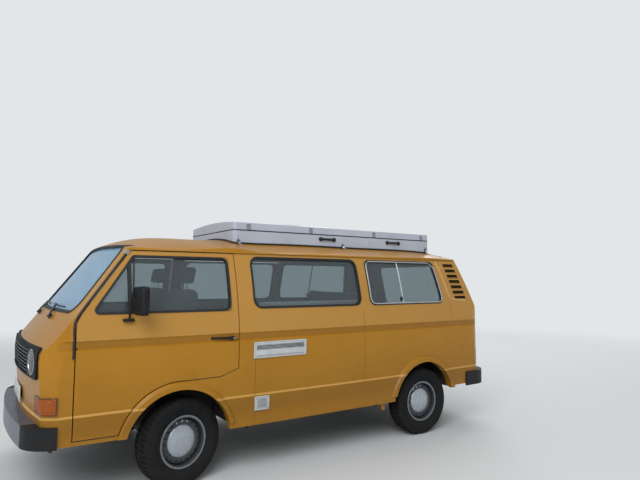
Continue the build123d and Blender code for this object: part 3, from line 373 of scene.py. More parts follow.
ENAMEL = body_enamel()
# The last two values of each glass are the colour and share of its painted sky reflection
GLASS = window_glass("float_glass", "#b3bfc1", "#aebcc4", 0.07)
SCREEN_GLASS = window_glass("laminated_screen_glass", "#a9bcc6", "#a4c8e4", 0.46)
RUBBER = surface("moulded_epdm_rubber", ("#141416", "#1f2022"), 40.0, 0.55, 0.1, 0.12, 1.5)
TYRE = surface("vulcanised_rubber", {0.3: "#0c0e10", 0.75: "#15171a"}, 60.0, 0.85, 0.08, 0.25, 3.0, dust=0.12,
               Specular_IOR_Level=0.2)
UNDERSEAL = surface("bitumen_underseal", ("#1c1b1a", "#2c2926"), 80.0, 0.85, 0.08, 0.8, 6.0, dust=0.8)
CAST_IRON = surface("sand_cast_iron", ("#3a3733", "#55504a"), 30.0, 0.8, 0.1, 0.6, 2.5, metallic=0.4, dust=0.5)
DULL_STEEL = surface("rust_dulled_steel", {0.3: "#5a4a3e", 0.55: "#77706a", 0.8: "#8a8580"}, 35.0, 0.55, 0.12,
                     0.3, 2.0, metallic=0.6)
BRIGHT_STEEL = surface("bright_zinc_plated_steel", ("#9a9ca0", "#b9bbbd"), 20.0, 0.32, 0.08, metallic=0.9)
REFLECTOR = surface("smoky_lamp_reflector", ("#20252a", "#343a41"), 50.0, 0.16, metallic=1.0)
CHROME = surface("polished_chrome_plate", ("#c8cbce", "#d8dadc"), 50.0, 0.09, metallic=1.0)
WHEEL_SILVER = surface("silver_wheel_lacquer", {0.25: "#30343a", 0.6: "#3a3f45", 0.85: "#43484e"}, 40.0, 0.45,
                       0.08, 0.1, 3.0, metallic=0.25, dust=0.2)
FLANGE_SILVER = surface("silver_rim_lacquer", ("#6f757c", "#82888f"), 40.0, 0.4, 0.08, 0.1, 3.0, metallic=0.4,
                        dust=0.25)
CAP_SILVER = surface("brushed_aluminium_cap", ("#a9b1ba", "#b7bec6"), 30.0, 0.32, 0.02, metallic=0.6, dust=0.1)
BUMPER_GREY = surface("grey_bumper_enamel", ("#444a57", "#505664"), 120.0, 0.42, 0.06, 0.05, 8.0, coat=0.2,
                      dust=0.25)
BLACK_PLASTIC = surface("moulded_black_polypropylene", ("#0e0f12", "#16181b"), 50.0, 0.55, 0.06, 0.08, 1.2,
                        dust=0.12, Specular_IOR_Level=0.3)
MATT_BLACK = surface("matt_black_abs", ("#0c0d0f", "#131417"), 50.0, 0.55, 0.05, Specular_IOR_Level=0.2)
GLOSS_BLACK = surface("moulded_gloss_black_abs", ("#101113", "#191a1d"), 50.0, 0.24, 0.05, coat=0.3)
SATIN_GREY = surface("satin_grey_abs", ("#6d7378", "#838a90"), 40.0, 0.3, 0.04, coat=0.35)
TRIM_PLASTIC = surface("grained_vinyl_over_foam", ("#26262a", "#323236"), 30.0, 0.62, 0.05, 0.3, 2.0)
BOX_WHITE = surface("white_grp_gelcoat", {0.25: "#a9b1bf", 0.6: "#b6bdca", 0.85: "#bcc3cf"}, 260.0, 0.4, 0.07,
                    0.12, 30.0, coat=0.25)
VENT_WHITE = surface("moulded_white_abs", ("#b4b9ba", "#c6cacb"), 60.0, 0.45, 0.05, 0.05, 2.0, dust=0.5)
# Painted shade: a greyer copy of the white plastic for the shaded field behind the service grille's bars
VENT_PAINTED_SHADE = surface("white_abs_painted_shade", ("#6f7675", "#7d8483"), 30.0, 0.6, 0.05)
ALU_FRAME = surface("anodised_aluminium", ("#b6b9bc", "#c9cbcd"), 30.0, 0.38, 0.05, metallic=0.55)
WORKTOP = surface("pale_worktop_laminate", ("#b9bcbc", "#c9cbca"), 12.0, 0.35, 0.04)
# Painted highlight: a paler copy of the body enamel for the bead's lit edge
BEAD_PAINTED_HIGHLIGHT = surface("enamel_painted_highlight", ("#bd9150", "#c69a58"), 60.0, 0.35, 0.02, coat=0.12)
UPSTAND = surface("white_edge_strip", ("#dfe2e3", "#e8eaea"), 12.0, 0.35, 0.04)
# Painted shade: a near-black sheet for the shaded hollow behind the fridge vent's bars
SLOT_PAINTED_SHADE = surface("vent_slot_painted_shade", ("#0c0b0a", "#17130e"), 20.0, 0.9, 0.05)
# Painted shade: dark brown sheets standing in for the shade in the air slots' hollows
LOUVRE_PAINTED_SHADE = surface("louvre_slot_painted_shade", ("#1d140a", "#2e2110"), 20.0, 0.9, 0.05, Specular_IOR_Level=0.1)
PLATE = surface("blank_plate_film", ("#c3c5c4", "#cfd0cf"), 40.0, 0.35, 0.04, dust=0.4)
MIRROR = surface("silvered_glass", ("#c9ced2", "#d3d7da"), 60.0, 0.03, metallic=1.0)
LENS_EDGE = surface("dark_amber_lens_edge", ("#4a200a", "#5a2a0e"), 20.0, 0.25, 0.03, coat=0.4)
AMBER = lens("amber_acrylic", "#9c4c02", 6.0, 0.1)
RED = lens("red_acrylic", "#86100c", 6.0, 0.1)
CLEAR = lens("clear_acrylic", "#c9cccb", 8.0)
LAMP_GLASS = lens("fluted_lamp_glass", "#5d6870", 9.0, 0.85)
CLOTH = seat_cloth()
WOOD = cabinet_laminate()

BY_NAME = {name: finish for finish, names in (
    (RUBBER, "window_seals tray_seals tailgate_seal"), (GLASS, "side_glass tailgate_glass"),
    (SCREEN_GLASS, "windscreen"), (BUMPER_GREY, "bumpers"), (BLACK_PLASTIC, "bumper_caps wipers"),
    (MATT_BLACK, "grille"), (LAMP_GLASS, "headlamps"), (AMBER, "signal_lamps"), (DULL_STEEL, "exhaust_system"),
    (UNDERSEAL, "wheel_boxes floor_pan chassis_frame suspension fuel_tank spare_wheel_tray"),
    (CAST_IRON, "engine_block knuckle_left knuckle_right"), (TRIM_PLASTIC, "dashboard steering_wheel"),
    (CLOTH, "seats"), (WOOD, "kitchen_cabinet"), (VENT_WHITE, "side_vents"), (BOX_WHITE, "roof_tray roof_lid"),
    (BRIGHT_STEEL, "roof_clamps lid_latches")) for name in names.split()}
BY_FIRST_WORD = {"tyre": TYRE, "rim": WHEEL_SILVER}
BY_LAST_WORD = {"seal": RUBBER, "glass": GLASS, "fittings": BLACK_PLASTIC}
for name, node in NODES.items():
    words = name.split("_")
    finish = BY_NAME.get(name) or BY_FIRST_WORD.get(words[0]) or BY_LAST_WORD.get(words[-1]) or ENAMEL
    if not node.material_slots:
        node.data.materials.append(finish)
    for slot in node.material_slots:
        slot.material = finish

# ---- Making pieces ----------------------------------------------------------


def finish_piece(name, bm, finishes, body="shell", takes=(), smooth=35.0):
    """Turns a bmesh into a piece that rides on a body."""
    bmesh.ops.remove_doubles(bm, verts=bm.verts, dist=1e-6)
    bmesh.ops.recalc_face_normals(bm, faces=bm.faces)
    mesh = bpy.data.meshes.new(name)
    bm.to_mesh(mesh)
    bm.free()
    for finish in finishes if isinstance(finishes, list) else [finishes]:
        mesh.materials.append(finish)
    piece = bpy.data.objects.new(name, mesh)
    bpy.context.collection.objects.link(piece)
    for face in mesh.polygons:
        face.use_smooth = True
    mesh.set_sharp_from_angle(angle=math.radians(smooth))
    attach(piece, body)
    if takes:
        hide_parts(*takes)


def stand(place, degrees=0.0, axis="Z"):
    """A place to put something, with a turn about one axis."""
    return Matrix.Translation(place) @ Matrix.Rotation(math.radians(degrees), 4, axis)


def merge(bm, part, finish=None, place=None):
    """Moves everything in one bmesh into another, in one finish or in its own."""
    if place is not None:
        bmesh.ops.transform(part, matrix=place, verts=part.verts)
    if finish is not None:
        for face in part.faces:
            face.material_index = finish
    mesh = bpy.data.meshes.new("part")
    part.to_mesh(mesh)
    part.free()
    bm.from_mesh(mesh)
    bpy.data.meshes.remove(mesh)


def block(size):
    """A plain block about the origin."""
    part = bmesh.new()
    bmesh.ops.create_cube(part, size=1.0)
    bmesh.ops.scale(part, vec=size, verts=part.verts)
    return part


def round_off(part, edges, radius, segments):
    """Rounds some edges of a bmesh."""
    bmesh.ops.bevel(part, geom=edges, offset=radius, segments=segments, profile=0.5, affect="EDGES",
                    material=-1)


def box_in(bm, low, high, bevel=0.002, segments=2, finish=0, turn=None):
    """Adds a box with rounded edges between two corners; turn is a matrix about the box's own middle."""
    size = [abs(b - a) for a, b in zip(low, high)]
    middle = Vector([(a + b) / 2 for a, b in zip(low, high)])
    part = block(size)
    round_off(part, part.edges[:], min(bevel, min(size) * 0.49), segments)
    merge(bm, part, finish, Matrix.Translation(middle) @ (turn or Matrix()))


def rod_in(bm, start, end, radius, sides=16, end_radius=None, finish=0):
    """Adds a closed round bar between two points."""
    start, end = Vector(start), Vector(end)
    along = end - start
    part = bmesh.new()
    bmesh.ops.create_cone(part, cap_ends=True, segments=sides, radius1=radius,
                          radius2=radius if end_radius is None else end_radius, depth=along.length)
    turn = along.to_track_quat("Z", "Y").to_matrix().to_4x4()
    merge(bm, part, finish, Matrix.Translation((start + end) / 2) @ turn)


def spun_in(bm, profile, steps=64, place=None, finish=0):
    """Adds a profile, given as radius and distance out and closed here, turned about the Y axis."""
    part = bmesh.new()
    verts = [part.verts.new((radius, out, 0.0)) for radius, out in profile + profile[:1]]
    edges = [part.edges.new((a, b)) for a, b in zip(verts, verts[1:])]
    bmesh.ops.spin(part, geom=verts + edges, cent=(0, 0, 0), axis=(0, 1, 0), angle=2 * math.pi, steps=steps,
                   use_merge=True)
    bmesh.ops.remove_doubles(part, verts=part.verts, dist=1e-6)
    merge(bm, part, finish, place)


def sweep_in(bm, points, half_width, finish=0):
    """Adds a smooth bar of round section along a path."""
    data = bpy.data.curves.new("path", "CURVE")
    data.dimensions = "3D"
    spline = data.splines.new("NURBS")
    spline.points.add(len(points) - 1)
    for point, place in zip(spline.points, points):
        point.co = (*place, 1.0)
    spline.order_u = 3
    spline.use_endpoint_u = True
    spline.resolution_u = 8
    data.bevel_depth = half_width
    data.bevel_resolution = 3
    data.use_fill_caps = True
    holder = bpy.data.objects.new("path", data)
    bpy.context.collection.objects.link(holder)
    mesh = bpy.data.meshes.new_from_object(holder.evaluated_get(bpy.context.evaluated_depsgraph_get()))
    part = bmesh.new()
    part.from_mesh(mesh)
    bpy.data.objects.remove(holder)
    bpy.data.meshes.remove(mesh)
    merge(bm, part, finish)


SKINS = {}


def struck(node, start, way):
    """The first point of a node's surface on a line, or nothing."""
    if node not in SKINS:
        SKINS[node] = BVHTree.FromObject(NODES[node], bpy.context.evaluated_depsgraph_get())
    return SKINS[node].ray_cast(Vector(start), Vector(way))[0]


def side_y(node, x, z, sign, missing=None):
    """How far out the surface of a node on one side lies at a place along and up."""
    hit = struck(node, (x, sign * 2.0, z), (0, -sign, 0))
    return missing if hit is None else hit.y


def end_x(node, y, z, sign, missing=None):
    """How far ahead or back the surface of a node at one end lies at a place across and up."""
    hit = struck(node, (sign * 4.0, y, z), (-sign, 0, 0))
    return missing if hit is None else hit.x


def top_z(node, x, y, missing=None):
    """How high the top of a node lies."""
    hit = struck(node, (x, y, 3.0), (0, 0, -1))
    return missing if hit is None else hit.z


def pillar_half(z):
    """Rough half width of the upper body, where a search finds nothing."""
    return 0.90 - (z - 1.10) * 0.24


def outer_y(x, z, sign, *nodes):
    """The outermost of some nodes' surfaces at a place on one side."""
    found = [side_y(node, x, z, sign) for node in nodes]
    found = [y * sign for y in found if y is not None]
    return sign * (max(found) if found else pillar_half(z))


def dense_loop(points, step):
    """A closed line with more points on its long parts, and its first again at the end."""
    dense = []
    for start, stop in zip(points, points[1:] + points[:1]):
        pieces = max(1, int((stop - start).length / step))
        dense += [start.lerp(stop, i / pieces) for i in range(pieces)]
    return dense + dense[:1]


def round_rectangle(low, high, radius):
    """Points round a flat rectangle's rounded corners."""
    left, right, bottom, top = low[0] + radius, high[0] - radius, low[1] + radius, high[1] - radius
    points = []
    for turn, centre in enumerate(((right, top), (left, top), (left, bottom), (right, bottom))):
        for step in range(5):
            angle = math.radians(turn * 90.0 + step * 22.5)
            points.append(Vector(centre) + Vector((math.cos(angle), math.sin(angle))) * radius)
    return points


# ---- Wheels -----------------------------------------------------------------

TYRE_SIDE = [(0.179, -0.063), (0.1925, -0.0655), (0.196, -0.073), (0.206, -0.0795), (0.23, -0.0895),
             (0.252, -0.0932), (0.256, -0.0938), (0.259, -0.0922), (0.276, -0.0915), (0.293, -0.0868),
             (0.305, -0.08), (0.3105, -0.074), (0.314, -0.066)]
CAP = [(0.1165, 0.03), (0.1185, 0.0345), (0.118, 0.0385), (0.1145, 0.0425), (0.104, 0.0475),
       (0.088, 0.0525), (0.065, 0.057), (0.042, 0.06), (0.0315, 0.061), (0.03, 0.0604), (0.028, 0.0611),
       (0.012, 0.0618), (0.0001, 0.062), (0.0001, 0.03)]
RIM_EDGE = [(0.17, 0.059), (0.173, 0.0665), (0.18, 0.0712), (0.1895, 0.0716), (0.192, 0.069),
            (0.1912, 0.064), (0.184, 0.0655), (0.1762, 0.062), (0.1735, 0.054)]
GROOVES = (-0.048, -0.017, 0.017, 0.048)
GROOVE_HALF = 0.0042
GROOVE_DEEP = 0.007
TREAD_STEPS = 156


def wheel_place(axle, side):
    """Where a wheel's own middle stands, and how the front ones are turned."""
    sign = 1 if side == "left" else -1
    if axle == "rear":
        out = Matrix.Translation((REAR_AXLE, sign * REAR_TRACK_HALF, AXLE_Z))
    else:
        pin = Matrix.Translation((FRONT_AXLE, sign * KINGPIN_Y, 0)) @ Matrix.Rotation(STEER_REST, 4, "Z")
        out = pin @ Matrix.Translation((0, sign * (FRONT_TRACK_HALF - KINGPIN_Y), AXLE_Z))
    return out @ Matrix.Diagonal((1, sign, 1, 1))


def tyre_profile():
    """Radius and distance out, round the tyre from one bead to the other over the tread, and back inside."""
    tread = []
    for groove in GROOVES:
        crown = TYRE_R - 0.0005 - 0.9 * groove ** 2
        tread += [(crown, groove - GROOVE_HALF), (crown - GROOVE_DEEP, groove - GROOVE_HALF * 0.6),
                  (crown - GROOVE_DEEP, groove + GROOVE_HALF * 0.6), (crown, groove + GROOVE_HALF)]
    outer = [(radius, -out) for radius, out in reversed(TYRE_SIDE)]
    return TYRE_SIDE + tread + outer + [(0.186, 0.052), (0.186, -0.052)]


def cut_shoulders(part):
    """Sinks every third row of shoulder faces to part the tread into blocks."""
    rows = []
    for face in part.faces:
        middle = face.calc_center_median()
        turn = math.atan2(middle.z, middle.x) / (2 * math.pi) + 1.0
        step = int(turn * TREAD_STEPS) % TREAD_STEPS
        across = abs(middle.y)
        third = (step + (1 if middle.y > 0 else 0)) % 3 == 0
        blocks = 0.053 < across < 0.078 or 0.0215 < across < 0.0435
        if third and blocks and math.hypot(middle.x, middle.z) > 0.3095:
            rows.append(face)
    for face in bmesh.ops.extrude_discrete_faces(part, faces=rows)["faces"]:
        middle = face.calc_center_median()
        inward = Vector((-middle.x, 0, -middle.z)).normalized() * 0.0055
        bmesh.ops.translate(part, vec=inward, verts=face.verts[:])


def wheel(axle, side):
    """Road tyre with grooved tread and blocks at the shoulders, domed cap, bright rim edge and valve."""
    place = wheel_place(axle, side)
    body = f"wheel_{axle}_{side}"
    part = bmesh.new()
    spun_in(part, tyre_profile(), TREAD_STEPS)
    cut_shoulders(part)
    bmesh.ops.transform(part, matrix=place, verts=part.verts)
    tyre = f"tyre_{axle}_{side}"
    finish_piece("tread_" + tyre, part, TYRE, body, [tyre], 28.0)
    part = bmesh.new()
    spun_in(part, CAP, 72, place)
    spun_in(part, RIM_EDGE, 72, place, 1)
    rod_in(part, place @ Vector((0.0, 0.030, 0.160)), place @ Vector((0.0, 0.062, 0.154)), 0.0035, 12, 0.003)
    finish_piece(f"cap_{axle}_{side}", part, [CAP_SILVER, FLANGE_SILVER], body)


for axle in ("front", "rear"):
    for sign, side in SIDES:
        wheel(axle, side)

# ---- Door strips and window frames ------------------------------------------


def door_strip(sign, side):
    """Black rubber strip down the front edge of the cab door, with the bright clip at its top."""
    part = bmesh.new()
    line = [(0.726, 0.98), (0.726, 1.08), (0.726, 1.185), (0.720, 1.228), (0.690, 1.282), (0.566, 1.450),
            (0.462, 1.590), (0.378, 1.700)]
    path = []
    for ahead, z in line:
        x = FRONT_AXLE + ahead + 0.006
        path.append(Vector((x, side_y("nose_panel", x + 0.012, z, sign, sign * 0.75) + sign * 0.003, z)))
    sweep_in(part, path, 0.0085)
    top = path[-1]
    box_in(part, top + Vector((-0.016, -0.009, -0.012)), top + Vector((0.016, 0.009, 0.026)), 0.004, 2, 1,
           Matrix.Rotation(math.radians(-32.0), 4, "Y"))
    finish_piece(f"drip_strip_{side}", part, [RUBBER, BRIGHT_STEEL])


def rounded_outline(corners, radius):
    """Points round an outline in X and Z with rounded corners, close enough to follow a curved side."""
    loop = []
    for i, corner in enumerate(corners):
        following = corners[(i + 1) % len(corners)]
        middle, before, after = Vector(corner), Vector(corners[i - 1]), Vector(following)
        start = middle + (before - middle).normalized() * radius
        stop = middle + (after - middle).normalized() * radius
        for share in (step / 6 for step in range(7)):
            loop.append(start * (1 - share) ** 2 + middle * 2 * share * (1 - share) + stop * share ** 2)
    return dense_loop(loop, 0.05)


def sliding_window_frame(sign, side):
    """Pale metal frame round the rear side window, its middle bar and catch."""
    part = bmesh.new()
    corners = [(-0.5715, 1.2915), (-1.5345, 1.2915), (-1.4795, 1.6885), (-0.5715, 1.6885)]
    sweep_in(part, [(x, outer_y(x, z, sign, "window_seals", "side_glass") + sign * 0.0015, z)
                    for x, z in rounded_outline(corners, 0.062)], 0.0052)
    bar = [(-0.985, 1.293 + 0.394 * step / 8) for step in range(9)]
    sweep_in(part, [(x, outer_y(x, z, sign, "side_glass") + sign * 0.003, z) for x, z in bar], 0.0065)
    catch_y = outer_y(-0.968, 1.330, sign, "side_glass")
    box_in(part, (-0.978, catch_y, 1.312), (-0.952, catch_y + sign * 0.014, 1.348), 0.004, 2, 1)
    finish_piece(f"window_frame_{side}", part, [ALU_FRAME, BLACK_PLASTIC])


for sign, side in SIDES:
    door_strip(sign, side)
    sliding_window_frame(sign, side)

# ---- Nose: lamps, grille, wipers --------------------------------------------

# Profiles of a headlamp, as radius and distance out
BUCKET = [(0.0001, 0.0012), (0.0875, 0.0012), (0.0882, 0.012), (0.085, 0.012), (0.0838, 0.0025),
          (0.0001, 0.0025)]
LAMP_RING = [(0.0835, 0.003), (0.0848, 0.0115), (0.083, 0.0138), (0.0805, 0.013), (0.0792, 0.009),
             (0.0792, 0.003)]
BOWL = [(0.0785, 0.009), (0.07, 0.0062), (0.055, 0.0046), (0.03, 0.0036), (0.0001, 0.0032), (0.0001, 0.0027),
        (0.0785, 0.0027)]
BULB_SHIELD = [(0.0001, 0.01), (0.01, 0.0094), (0.016, 0.007), (0.017, 0.0036), (0.0001, 0.0036)]
DOME = [(0.0001, 0.017), (0.025, 0.0166), (0.048, 0.0154), (0.068, 0.0135), (0.0788, 0.0115),
        (0.0788, 0.0095), (0.068, 0.0112), (0.048, 0.013), (0.025, 0.0142), (0.0001, 0.0146)]


def headlamp(sign, side):
    """Round lamp in a dark bucket: bright ring, shallow reflector, bulb shield and a domed, fluted glass."""
    middle = (end_x("nose_panel", sign * LAMP_Y, LAMP_Z, 1), sign * LAMP_Y, LAMP_Z)
    place = stand(middle, 6.5 * sign) @ Matrix.Rotation(math.radians(-90.0), 4, "Z")
    part = bmesh.new()
    for profile, finish in ((BUCKET, 2), (LAMP_RING, 1), (BOWL, 3), (BULB_SHIELD, 1), (DOME, 0)):
        spun_in(part, profile, 72, place, finish)
    finish_piece(f"headlamp_{side}", part, [LAMP_GLASS, CHROME, GLOSS_BLACK, REFLECTOR],
                 takes=["headlamps"], smooth=28.0)


def grille_slats():
    """Slats of the grille with rounded, paler front edges, and the raised frame round it."""
    part = bmesh.new()
    for row in range(1, 8):
        z = 0.856 + 0.0235 * row
        line = [-0.535 + 1.07 * step / 16 for step in range(17)]
        sweep_in(part, [(end_x("grille", y, z, 1) - 0.001, y, z) for y in line], 0.0015)
    half, low, high = 0.770, 0.851, 1.049
    flat = (0, 0.3, 0.55, 0.70, 0.755)
    ring = [(y, high) for y in flat] + [(half, z) for z in (high - 0.02, 0.95, low + 0.02)]
    ring += [(y, low) for y in reversed(flat)]
    ring += [(-y, z) for y, z in reversed(ring[1:-1])] + ring[:1]
    sweep_in(part, [(end_x("grille", y, z, 1) - 0.0005, y, z) for y, z in ring], 0.0038, 1)
    finish_piece("grille_slats", part, [SATIN_GREY, MATT_BLACK])


def wiper(name, pivot_y, takes):
    """Arm sprung from a round boss, with a ribbed blade bowed to the glass."""
    def skin(y, z, lift):
        for node in ("windscreen", "window_seals", "nose_panel"):
            x = end_x(node, y, z, 1)
            if x is not None and x > 1.7:
                return Vector((x + lift, y, z))
        return Vector((2.0, y, z))
    part = bmesh.new()
    boss = skin(pivot_y, 1.238, 0.0) + Vector((0.012, 0.0, 0.0))
    away = Vector((0.62, 0.0, 0.78))
    rod_in(part, boss - away * 0.014, boss + away * 0.016, 0.0195, 24, 0.0165)
    tip = skin(pivot_y - 0.150, 1.316, 0.016)
    sweep_in(part, [boss + away * 0.008, boss.lerp(tip, 0.35) + away * 0.010,
                    boss.lerp(tip, 0.7) + away * 0.007, tip + away * 0.004], 0.0080)
    blade = [skin(pivot_y + 0.110 - 0.52 * i / 8, 1.3075 + 0.0095 * i / 8, 0.004) for i in range(9)]
    sweep_in(part, blade, 0.0036, 1)
    spine = [(x + 0.0065 + 0.004 * math.sin(math.pi * i / 8), y, z + 0.004)
             for i, (x, y, z) in enumerate(blade)]
    sweep_in(part, spine, 0.0028)
    finish_piece(name, part, [GLOSS_BLACK, RUBBER], takes=takes)


# Rows at the edge of a wrapped lens: how far in, and how far above the CAD lamp
EDGE_SPREAD = [0.0, 0.0, 0.0050, 0.0065, 0.0190, 0.0215]
EDGE_LIFT = [-0.014, -0.0008, -0.0008, 0.0004, 0.0004]


def wrapped_lens(part, centre, angles, heights, tint, raised):
    """A lens bent round a corner: struck on to the CAD lamp, with a dark rim, closed back to the panel."""
    lifts = EDGE_LIFT + [raised]
    mid_angle, mid_height = sum(angles) / 2, sum(heights) / 2

    def stations(start, stop, unit):
        way = 1 if stop > start else -1
        first = [(start + way * gap * unit, lift) for gap, lift in zip(EDGE_SPREAD, lifts)]
        last = [(stop - way * gap * unit, lift) for gap, lift in zip(EDGE_SPREAD, lifts)]
        middle = [(first[-1][0] + (last[-1][0] - first[-1][0]) * i / 8, raised) for i in range(1, 8)]
        return first + middle + last[::-1]
    grid = []
    for z, z_lift in stations(*heights, 1.0):
        row = []
        for angle, a_lift in stations(*angles, 5.0):
            # Where the line runs past the lamp's edge, the next one in is tried
            for step in range(12):
                near = angle + (mid_angle - angle) * 0.012 * step
                level = Vector((0, 0, z + (mid_height - z) * 0.012 * step))
                way = Vector((math.cos(near), math.sin(near), 0))
                hit = struck("signal_lamps", centre + way * 0.8 + level, -way)
                if hit is not None:
                    break
            radius = (hit - centre - level).length + min(z_lift, a_lift)
            out = Vector((math.cos(angle) * radius, math.sin(angle) * radius, z))
            row.append(part.verts.new(centre + out))
        grid.append(row)
    tall, wide = len(grid) - 1, len(grid[0]) - 1
    for j in range(tall):
        for i in range(wide):
            face = part.faces.new((grid[j][i], grid[j][i + 1], grid[j + 1][i + 1], grid[j + 1][i]))
            face.material_index = 3 if min(i, j, wide - 1 - i, tall - 1 - j) < 3 else tint


def signal_lamps():
    """Turn lamps wrapped round the nose's corners and three-chamber tail lamps, each field in a dark rim."""
    part = bmesh.new()
    for sign, side in SIDES:
        front, rear = ([math.radians(sign * v) for v in pair] for pair in ((6.0, 68.0), (131.0, 184.5)))
        wrapped_lens(part, Vector((1.96, sign * 0.68, 0)), front, (0.6275, 0.7375), 0, 0.0022)
        for low, high, tint in ((0.6065, 0.6530, 1), (0.6540, 0.7020, 2), (0.7030, 0.7675, 0)):
            wrapped_lens(part, Vector((-1.95, sign * 0.62, 0)), rear, (low, high), tint, 0.0010)
    finish_piece("corner_lamps", part, [AMBER, RED, CLEAR, LENS_EDGE], takes=["signal_lamps"],
                 smooth=30.0)


for sign, side in SIDES:
    headlamp(sign, side)
grille_slats()
wiper("wiper_left", 0.355, ["wipers"])
wiper("wiper_right", -0.290, [])
signal_lamps()

# ---- Door handles, mirrors, quarter-light bars ------------------------------


def door_pull(part, node, sign):
    """Tapered pull, flattened towards the door, with a round lock at its thick end."""
    def out(ahead, z, lift=0.0):
        x = FRONT_AXLE + ahead
        return Vector((x, side_y(node, x, z, sign, sign * 0.9) + sign * lift, z))
    bar = [(out(-0.229, 1.064, 0.006), 0.0075), (out(-0.290, 1.062, 0.020), 0.0085),
           (out(-0.350, HANDLE_Z, 0.021), 0.0105), (out(-0.398, 1.059, 0.017), 0.0130)]
    for (start, start_radius), (end, end_radius) in zip(bar, bar[1:]):
        rod_in(part, start, end, start_radius, 20, end_radius)
    for point, radius in bar:
        ball = bmesh.new()
        bmesh.ops.create_uvsphere(ball, u_segments=20, v_segments=12, radius=radius)
        merge(part, ball, None, Matrix.Translation(point))
    for vert in part.verts:
        base = side_y(node, vert.co.x, vert.co.z, sign, sign * 0.9)
        vert.co.y = base + (vert.co.y - base) * 0.72
    foot, lock, away = out(-0.229, 1.064), out(-0.398, 1.059), Vector((0, sign, 0))
    rod_in(part, foot, foot + away * 0.010, 0.011, 20, 0.009)
    rod_in(part, lock, lock + away * 0.0265, 0.0145, 28, 0.0135)
    rod_in(part, lock + away * 0.0260, lock + away * 0.0285, 0.0085, 28, 0.0080, 1)


def mirror_head(part, place):
    """Upright mirror housing with rounded edges and the glass sunk in its back."""
    head = block((0.050, 0.140, 0.200))
    upright = [edge for edge in head.edges if abs(edge.verts[0].co.x - edge.verts[1].co.x) > 0.04]
    round_off(head, upright, 0.030, 7)
    front_rim = [edge for edge in head.edges if min(vert.co.x for vert in edge.verts) > 0.02]
    round_off(head, front_rim, 0.020, 4)
    back = max((face for face in head.faces if face.normal.x < -0.9), key=lambda face: face.calc_area())
    bmesh.ops.inset_region(head, faces=[back], thickness=0.006, use_even_offset=True)
    made = bmesh.ops.extrude_face_region(head, geom=[back])["geom"]
    sunk = [item for item in made if isinstance(item, bmesh.types.BMVert)]
    bmesh.ops.translate(head, vec=(0.006, 0, 0), verts=sunk)
    for face in made:
        if isinstance(face, bmesh.types.BMFace):
            face.material_index = 2
    if back.is_valid:
        bmesh.ops.delete(head, geom=[back], context="FACES")
    merge(part, head, None, place)


def door_fittings(sign, side):
    """Door pull, and an upright mirror on a bent tube."""
    node = f"door_{side}"
    part = bmesh.new()
    door_pull(part, node, sign)
    foot_y = side_y(node, FRONT_AXLE + 0.385, 1.232, sign, sign * 0.89)
    box_in(part, (FRONT_AXLE + 0.350, foot_y, 1.214), (FRONT_AXLE + 0.428, foot_y + sign * 0.034, 1.236),
           0.008, 3)
    base = Vector((FRONT_AXLE + 0.386, foot_y + sign * 0.020, 1.226))
    bends = [(0, 0, 0), (0, 0.012, 0.05), (-0.004, 0.030, 0.12), (-0.010, 0.042, 0.20),
             (-0.022, 0.060, 0.232), (-0.035, 0.080, 0.20), (-0.035, 0.090, 0.15)]
    sweep_in(part, [base + Vector((x, sign * y, z)) for x, y, z in bends], 0.0078)
    mirror_head(part, stand((FRONT_AXLE + 0.338, sign * 1.008, 1.360), 14.0 * sign))
    finish_piece(f"door_hardware_{side}", part, [BLACK_PLASTIC, BRIGHT_STEEL, MIRROR], node,
                 [f"door_{side}_fittings"])


def quarter_bar(sign, side):
    """Upright bar between the quarter light and the winding window, in black rubber channel."""
    part = bmesh.new()
    path = []
    for step in range(9):
        x, z = FRONT_AXLE + 0.352 - 0.018 * step / 8, 1.281 + (1.673 - 1.281) * step / 8
        y = side_y(f"door_{side}_glass", x, z, sign, sign * pillar_half(z))
        path.append((x, y + sign * 0.001, z))
    sweep_in(part, path, 0.0062)
    finish_piece(f"quarter_bar_{side}", part, RUBBER, f"door_{side}")


CORNER_X = FRONT_AXLE - 0.376
CORNER_IN = 0.042
RUBBER_WIDE = 0.016


def window_corners(sign, side):
    """Rubber bent round the cab window's rear corners, with the door skin made good outside it."""
    door = f"door_{side}"
    rubber, patch = bmesh.new(), bmesh.new()
    turns = [math.radians(v * 90 / 8) for v in range(9)]
    middle = CORNER_IN + RUBBER_WIDE / 2
    reach = CORNER_IN + RUBBER_WIDE - 0.0005
    past = RUBBER_WIDE + 0.0015
    for corner_z, up in ((1.283, -1), (1.671, 1)):
        cx, cz = CORNER_X + CORNER_IN, corner_z - up * CORNER_IN

        def arc(radius):
            return [(cx - radius * math.cos(t), cz + up * radius * math.sin(t)) for t in turns]
        line = [(cx - middle, cz - up * 0.018)] + arc(middle) + [(cx + 0.018, cz + up * middle)]
        sweep_in(rubber, [(x, outer_y(x, z, sign, door, door + "_seal") - sign * 0.0035, z) for x, z in line],
                 RUBBER_WIDE / 2 + 0.0005)
        square = (CORNER_X - past, corner_z + up * past)
        rim = [(square[0], cz)] + arc(reach) + [(cx, square[1]), square]
        sheet = bmesh.new()
        verts = [sheet.verts.new((x, outer_y(x, z, sign, door, door + "_seal") + sign * 0.0010, z))
                 for x, z in rim]
        for first, second in zip(verts[:-2], verts[1:-1]):
            sheet.faces.new((verts[-1], first, second))
        bmesh.ops.recalc_face_normals(sheet, faces=sheet.faces)
        bmesh.ops.solidify(sheet, geom=sheet.faces[:], thickness=0.0015)
        merge(patch, sheet)
    finish_piece(f"window_corner_rubber_{side}", rubber, RUBBER, door)
    finish_piece(f"window_corner_skin_{side}", patch, ENAMEL, door)


for sign, side in SIDES:
    door_fittings(sign, side)
    quarter_bar(sign, side)
    window_corners(sign, side)

# ---- Side vents -------------------------------------------------------------


